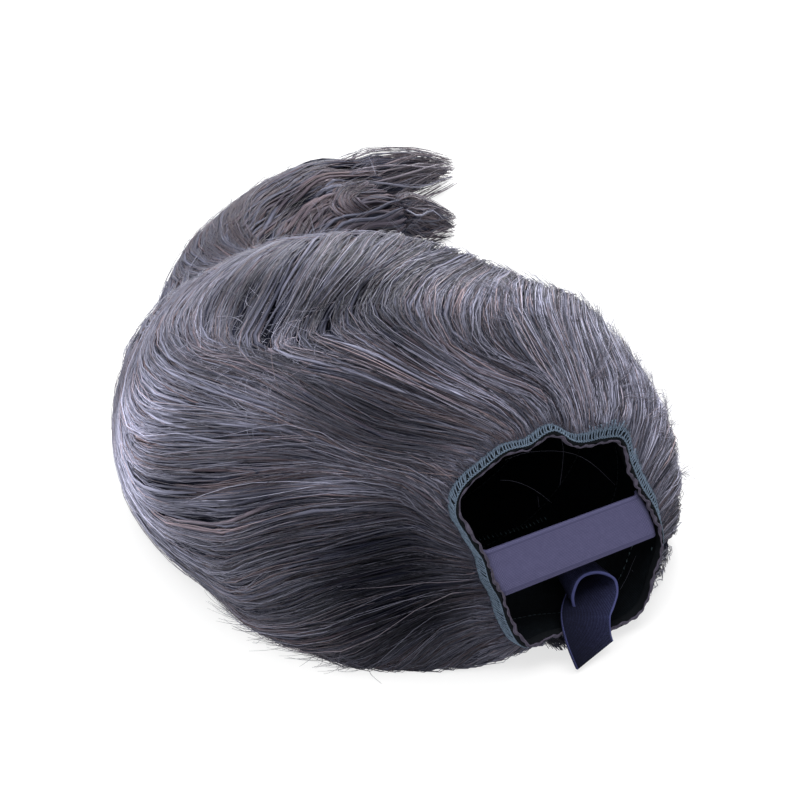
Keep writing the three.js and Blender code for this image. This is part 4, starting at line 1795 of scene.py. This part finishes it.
    def _end_lock(self, name: str, loft: Loft, material: Material) -> None:
        """Strands that run out to a lock's tip.

        Args:
            name: The lock's name.
            loft: Its form.
            material: The strands' finish.
        """
        rng, tip, count = self.rng, self.tip, self.tip.strands
        share = np.linspace(0, 1, tip.stations)[None, :]
        place = loft.last * rng.uniform(*tip.reach, count)[:, None] * share
        angle = rng.uniform(*tip.turn, count)[:, None]
        angle = angle + rng.uniform(-tip.twist, tip.twist, count)[:, None] * share
        points = loft.point(place, angle)
        core = smooth(loft.rows, place)[..., :3]
        leave = at_least(tip.leave, ease(share / tip.leave_over))
        points = core + (points - core) * (rng.uniform(*tip.out, count)[:, None] * leave)[..., None]
        out = loft.normal(np.clip(place, 0.03, loft.last - 0.03), angle)
        side = unit(np.cross(out, np.gradient(points, axis=1)))
        swing = share * rng.uniform(*tip.waves, count)[:, None] + rng.uniform(*PHASES, count)[:, None]
        wave = tip.wave * np.sin(swing)
        paths = points + side * wave[..., None] + out * rng.uniform(*tip.lift, count)[:, None, None]
        paths[..., 2] = np.maximum(paths[..., 2], FLOOR_CLEARANCE)
        thick = self.strand * thinned(share, tip.thins, tip.thins_over) * np.ones((count, 1))
        width = thick * np.where(np.arange(count) < tip.tresses, tip.broad, 1.0)[:, None]
        tone = PLAIN * (tip.tone + tip.shine * rng.uniform(0, 1, count) ** 2)
        brown = (rng.uniform(0, 1, count) < tip.brown) * rng.uniform(*self.groom.brownness, count)
        strands = Tubes(paths, out, width, thick, tone, brown)
        settle(strands.piece(f"hair_end_{name}", 3), "hair", material)


class Loose(NamedTuple):
    """A part of the hair with loose hairs: how many tufts, how long and how far they stand out."""

    name: str
    place: Pair
    angle: Pair
    tufts: int
    each: int
    length: Pair
    rise: float
    tone: float
    curl: float = 0.4


LOOSE = (
    Loose("frizz", (-0.3, 2.2), (-8, 75), 150, 8, (8.0, 16.0), 0.45, 0.75),
    Loose("crest", (2.0, 4.2), (25, 80), 40, 7, (8.0, 16.0), 0.35, 0.7),
    Loose("fringe", (0.9, 2.6), (198, 212), 160, 1, (8.0, 20.0), 0.5, 0.3),
    Loose("flyaway", (1.6, 4.6), (84, 150), 80, 1, (14.0, 26.0), 0.06, 0.55, 1.1),
    Loose("ends", (8.6, 12.0), (-10, 160), 40, 5, (8.0, 20.0), 0.3, 0.5),
    Loose("ringlets", (2.3, 4.3), (112, 142), 120, 1, (9.0, 22.0), 0.12, 1.0, 1.3),
)


class Stray(NamedTuple):
    """A hair that strays into the mouth: how far behind its plane, and points across and up in it."""

    depth: float
    points: tuple[tuple[float, float], ...]


STRAYS = (
    Stray(14, ((-17, 42.8), (-2.7, 41.8), (16.4, 34.9), (29, 25), (40.3, 8.5))),
    Stray(16, ((-21, 33.5), (-14.5, 30.6), (-8.3, 26.2), (-2, 20), (4.2, 12))),
    Stray(12, ((15, 42), (14.6, 37), (13.2, 32.2), (11.2, 27), (8.5, 20.7))),
    Stray(20, ((-0.5, 16.2), (-0.6, 15), (-0.8, 13.5), (-1, 12), (-1.3, 10.6))),
    Stray(12, ((42.4, -30.4), (39, -34), (35.6, -38.1), (32.5, -41), (29.2, -43.8))),
    Stray(12, ((38.4, -36.5), (40, -40.4), (41.6, -44.3), (42.6, -47), (43.4, -49.5))),
)


@dataclass
class Wisps:
    """Loose hairs that stand out of the locks, and hairs that stray across the mouth."""

    hair: Hair
    seed: int = 23
    stations: int = 7
    radius: float = 0.13
    ceiling: float = 155.0  # height above which loose hairs are pressed flat
    give: float = 4.0  # how far they still rise past it
    scatter: Pair = (0.03, 1.0)  # places and degrees that part a tuft's roots
    sway: Pair = (0.6, 0.2)  # radians aside, of a tuft and of a hair in it
    tuft_lift: Pair = (0.5, 1.4)  # shares of its part's rise that a tuft stands out
    hair_lift: Pair = (0.8, 1.2)  # shares of its tuft's
    flatter: float = 0.8  # how much less hairs stand out on the top
    flat_from: float = 105.0  # the height at which that starts
    flat_over: float = 40.0
    fall: Pair = (0.1, 0.7)  # shares of its lift that a hair falls back
    trail: Pair = (0.0, 0.4)  # how far it bends with the rest
    own_curl: float = 0.1
    thins: float = 0.6
    thick: Pair = (0.7, 1.3)
    shine: Pair = (0.1, 1.0)
    brown: float = 0.12  # the share of brown hairs
    # The nape tuft: black hairs that are partly nape hair and partly painted shade for the strap's shaded
    # side.
    nape_hairs: int = 300
    nape_angle: Pair = (243, 270)
    nape_back: Pair = (1, 6)  # how far behind the edge the tuft's hairs start
    nape_off: float = 1.8  # how far off the wall
    nape_way: Triple = (0.5, -1.0, -0.7)
    nape_spread: float = 0.25
    nape_length: Pair = (4, 9)
    nape_floor: Pair = (0, 2)  # how far above the floor's clearance they end
    nape_thick: float = 1.4
    nape_tone: float = 0.03
    stray_stations: int = 13
    stray_thick: float = 0.8
    stray_tone: float = 0.1

    def build(self) -> None:
        """Builds a piece for each part, then the strays and the tuft at the nape, whose black hairs are
        partly painted shade.
        """
        rng = np.random.default_rng(self.seed)
        fibre = bpy.data.materials[self.hair.strand_finish.name]
        for loose in LOOSE:
            settle(self._sprout(loose, rng).piece(f"hair_{loose.name}", 3), "hair", fibre)
        settle(self._strays().piece("hair_strays", 3), "hair", fibre)
        settle(self._shade_tuft(rng).piece("hair_nape_shade_tuft", 3), "hair", fibre)

    def _sprout(self, loose: Loose, rng: np.random.Generator) -> Tubes:
        """Loose hairs of one part, each bent back to lie with the rest.

        Args:
            loose: The part.
            rng: The random source.

        Returns:
            The hairs.
        """
        form, count = self.hair.form, loose.tufts * loose.each
        of = np.repeat(np.arange(loose.tufts), loose.each)
        place = rng.uniform(*loose.place, loose.tufts)[of] + rng.normal(0, self.scatter[0], count)
        angle = rng.uniform(*loose.angle, loose.tufts)[of] + rng.normal(0, self.scatter[1], count)
        base, out = form.point(place, angle), form.normal(place, angle)
        small = 0.05
        back = unit(form.point(place + small, angle) - form.point(place - small, angle))
        side = np.cross(out, back)
        tuft_sway, hair_sway = self.sway
        sway = (rng.normal(0, tuft_sway, loose.tufts)[of] + rng.normal(0, hair_sway, count))[:, None]
        lift = rng.uniform(*self.tuft_lift, loose.tufts)[of] * rng.uniform(*self.hair_lift, count)
        lift = loose.rise * lift[:, None]
        lift = lift * (1 - self.flatter * ease((base[:, 2:] - self.flat_from) / self.flat_over))
        way = unit(out * lift + (1 - loose.rise) * (back * np.cos(sway) + side * np.sin(sway)))
        fall = -out * lift * rng.uniform(*self.fall, loose.tufts)[of][:, None]
        curve = (rng.normal(0, loose.curl, loose.tufts)[of] + rng.normal(0, self.own_curl, count))[:, None]
        bend = fall + back * rng.uniform(*self.trail, count)[:, None]
        length = rng.uniform(*loose.length, count)[:, None, None]
        share = np.linspace(0, 1, self.stations)[None, :, None]
        half_turn = curve[:, None] * share
        ahead = way[:, None] * share * np.sinc(2 * half_turn / np.pi)
        aside = side[:, None] * share * np.sin(half_turn) * np.sinc(half_turn / np.pi)
        paths = (base - out)[:, None] + length * (ahead + aside + bend[:, None] * share**2)
        over = np.maximum(paths[..., 2] - self.ceiling, 0.0)
        pressed = paths[..., 2] - over + self.give * (1 - np.exp(-over / self.give))
        paths[..., 2] = np.maximum(pressed, FLOOR_CLEARANCE)
        thick = self.radius * (1 - self.thins * share[..., 0]) * rng.uniform(*self.thick, count)[:, None]
        tone = PLAIN * loose.tone * rng.uniform(*self.shine, count)
        brown = (rng.uniform(0, 1, count) < self.brown) * rng.uniform(*self.hair.groom.brownness, count)
        ups = np.broadcast_to(np.cross(side, way)[:, None] + 0.3 * out[:, None], paths.shape)
        return Tubes(paths, ups, thick, thick, tone, brown)

    def _shade_tuft(self, rng: np.random.Generator) -> Tubes:
        """Short black hairs that lie out from under the binding at the nape: partly nape hair, partly
        painted shade that stands for the strap's shaded side.

        Args:
            rng: The random source.

        Returns:
            The hairs.
        """
        count = self.nape_hairs
        angle = rng.uniform(*self.nape_angle, count)
        back = rng.uniform(*self.nape_back, count)
        base = self.hair.cap.edge_point(angle, back, np.full(count, self.nape_off))
        x, y, z = self.nape_way
        way = np.stack([rng.normal(x, self.nape_spread, count), np.full(count, y), np.full(count, z)], -1)
        length = rng.uniform(*self.nape_length, count)[:, None, None]
        share = np.linspace(0, 1, self.stations)[None, :, None]
        paths = base[:, None] + unit(way)[:, None] * (length * share)
        floor = FLOOR_CLEARANCE + rng.uniform(*self.nape_floor, count)[:, None]
        paths[..., 2] = np.maximum(paths[..., 2], floor)
        return plain_tubes(paths, np.array([1.0, 0.0, 0.3]), self.nape_thick * self.radius, self.nape_tone)

    def _strays(self) -> Tubes:
        """Hairs across the mouth, in planes behind its edge.

        Returns:
            The hairs.
        """
        rim = CAP[0]
        lean = np.radians(rim.tilt)
        up = np.array([0.0, np.sin(lean), np.cos(lean)])
        front = np.array([0.0, -np.cos(lean), np.sin(lean)])
        middle = np.array([rim.x, rim.y, rim.z])
        paths = []
        for stray in STRAYS:
            flat = smooth(np.array(stray.points), np.linspace(0, len(stray.points) - 1, self.stray_stations))
            across = np.array([1.0, 0.0, 0.0]) * flat[:, :1]
            paths.append(middle + across + up * flat[:, 1:] - front * stray.depth)
        return plain_tubes(np.stack(paths), front, self.stray_thick * self.radius, self.stray_tone)


class Softbox(NamedTuple):
    """A square light: where it hangs and what it faces, in metres, its side and its power in watts."""

    name: str
    place: Triple
    aim: Triple
    side: float
    power: float


SOFTBOXES = (
    Softbox("overhead softbox", (0.1, 0.4, 1.7), (0.0, 0.0, 0.05), 2.2, 60.0),
    Softbox("back left softbox", (-1.5, 1.0, 0.8), (-0.05, 0.0, 0.05), 1.0, 30.0),
    Softbox("back right softbox", (1.4, 1.3, 1.0), (0.05, 0.0, 0.05), 1.2, 45.0),
)


@dataclass
class Studio:
    """The white sweep, soft lights and the camera at the photograph's angle."""

    azimuth: float = -32.0
    elevation: float = 38.0
    distance: float = 1100.0
    target: Triple = (0.0, 0.0, 80.0)
    focal: float = 98.01
    sensor: float = 36.0
    floor: float = 6.0
    sky: float = 0.55
    paper: PaperFinish = PaperFinish()

    def build(self) -> None:
        """Sets up the floor, the light and the camera."""
        bpy.context.scene.view_settings.view_transform = "Standard"
        bpy.ops.object.select_all(action="DESELECT")
        bpy.ops.mesh.primitive_plane_add(size=self.floor, location=(0, 0, -0.2 * MM))
        floor = bpy.context.object
        floor.name = "floor"
        floor.data.materials.append(self.paper.material())
        world = bpy.data.worlds.new("white studio")
        world.use_nodes = True
        world.node_tree.nodes.clear()
        sky = add_node(world.node_tree, "Background", {"Color": (1, 1, 1, 1), "Strength": self.sky})
        add_node(world.node_tree, "OutputWorld", {"Surface": sky.outputs[0]})
        bpy.context.scene.world = world
        for softbox in SOFTBOXES:
            self._light(softbox)
        self._camera()

    def _light(self, softbox: Softbox) -> None:
        """Hangs a softbox.

        Args:
            softbox: The softbox.
        """
        data = bpy.data.lights.new(softbox.name, "AREA")
        data.size = softbox.side
        data.energy = softbox.power
        light = bpy.data.objects.new(softbox.name, data)
        light.location = softbox.place
        way = Vector(softbox.aim) - Vector(softbox.place)
        light.rotation_euler = way.to_track_quat("-Z", "Y").to_euler()
        bpy.context.scene.collection.objects.link(light)

    def _camera(self) -> None:
        """Adds the camera."""
        turn, lift = np.radians(self.azimuth), np.radians(self.elevation)
        back = np.array([np.sin(turn) * np.cos(lift), -np.cos(turn) * np.cos(lift), np.sin(lift)])
        data = bpy.data.cameras.new("camera")
        data.lens = self.focal
        data.sensor_width = self.sensor
        camera = bpy.data.objects.new("camera", data)
        camera.location = Vector(to_frame(np.array(self.target) + back * self.distance))
        camera.rotation_euler = Vector(-back).to_track_quat("-Z", "Y").to_euler()
        bpy.context.scene.collection.objects.link(camera)
        bpy.context.scene.camera = camera


def main() -> None:
    """Builds the wig piece by piece and sets it in the studio."""
    logging.basicConfig(level=logging.INFO, format="%(message)s")
    cap = CapForm(CAP)
    CapNet(cap).build()
    EdgeBinding(cap).build()
    Elastic(cap).build()
    hair = Hair(cap)
    hair.build()
    Wisps(hair).build()
    Studio().build()


if __name__ == "__main__":
    main()
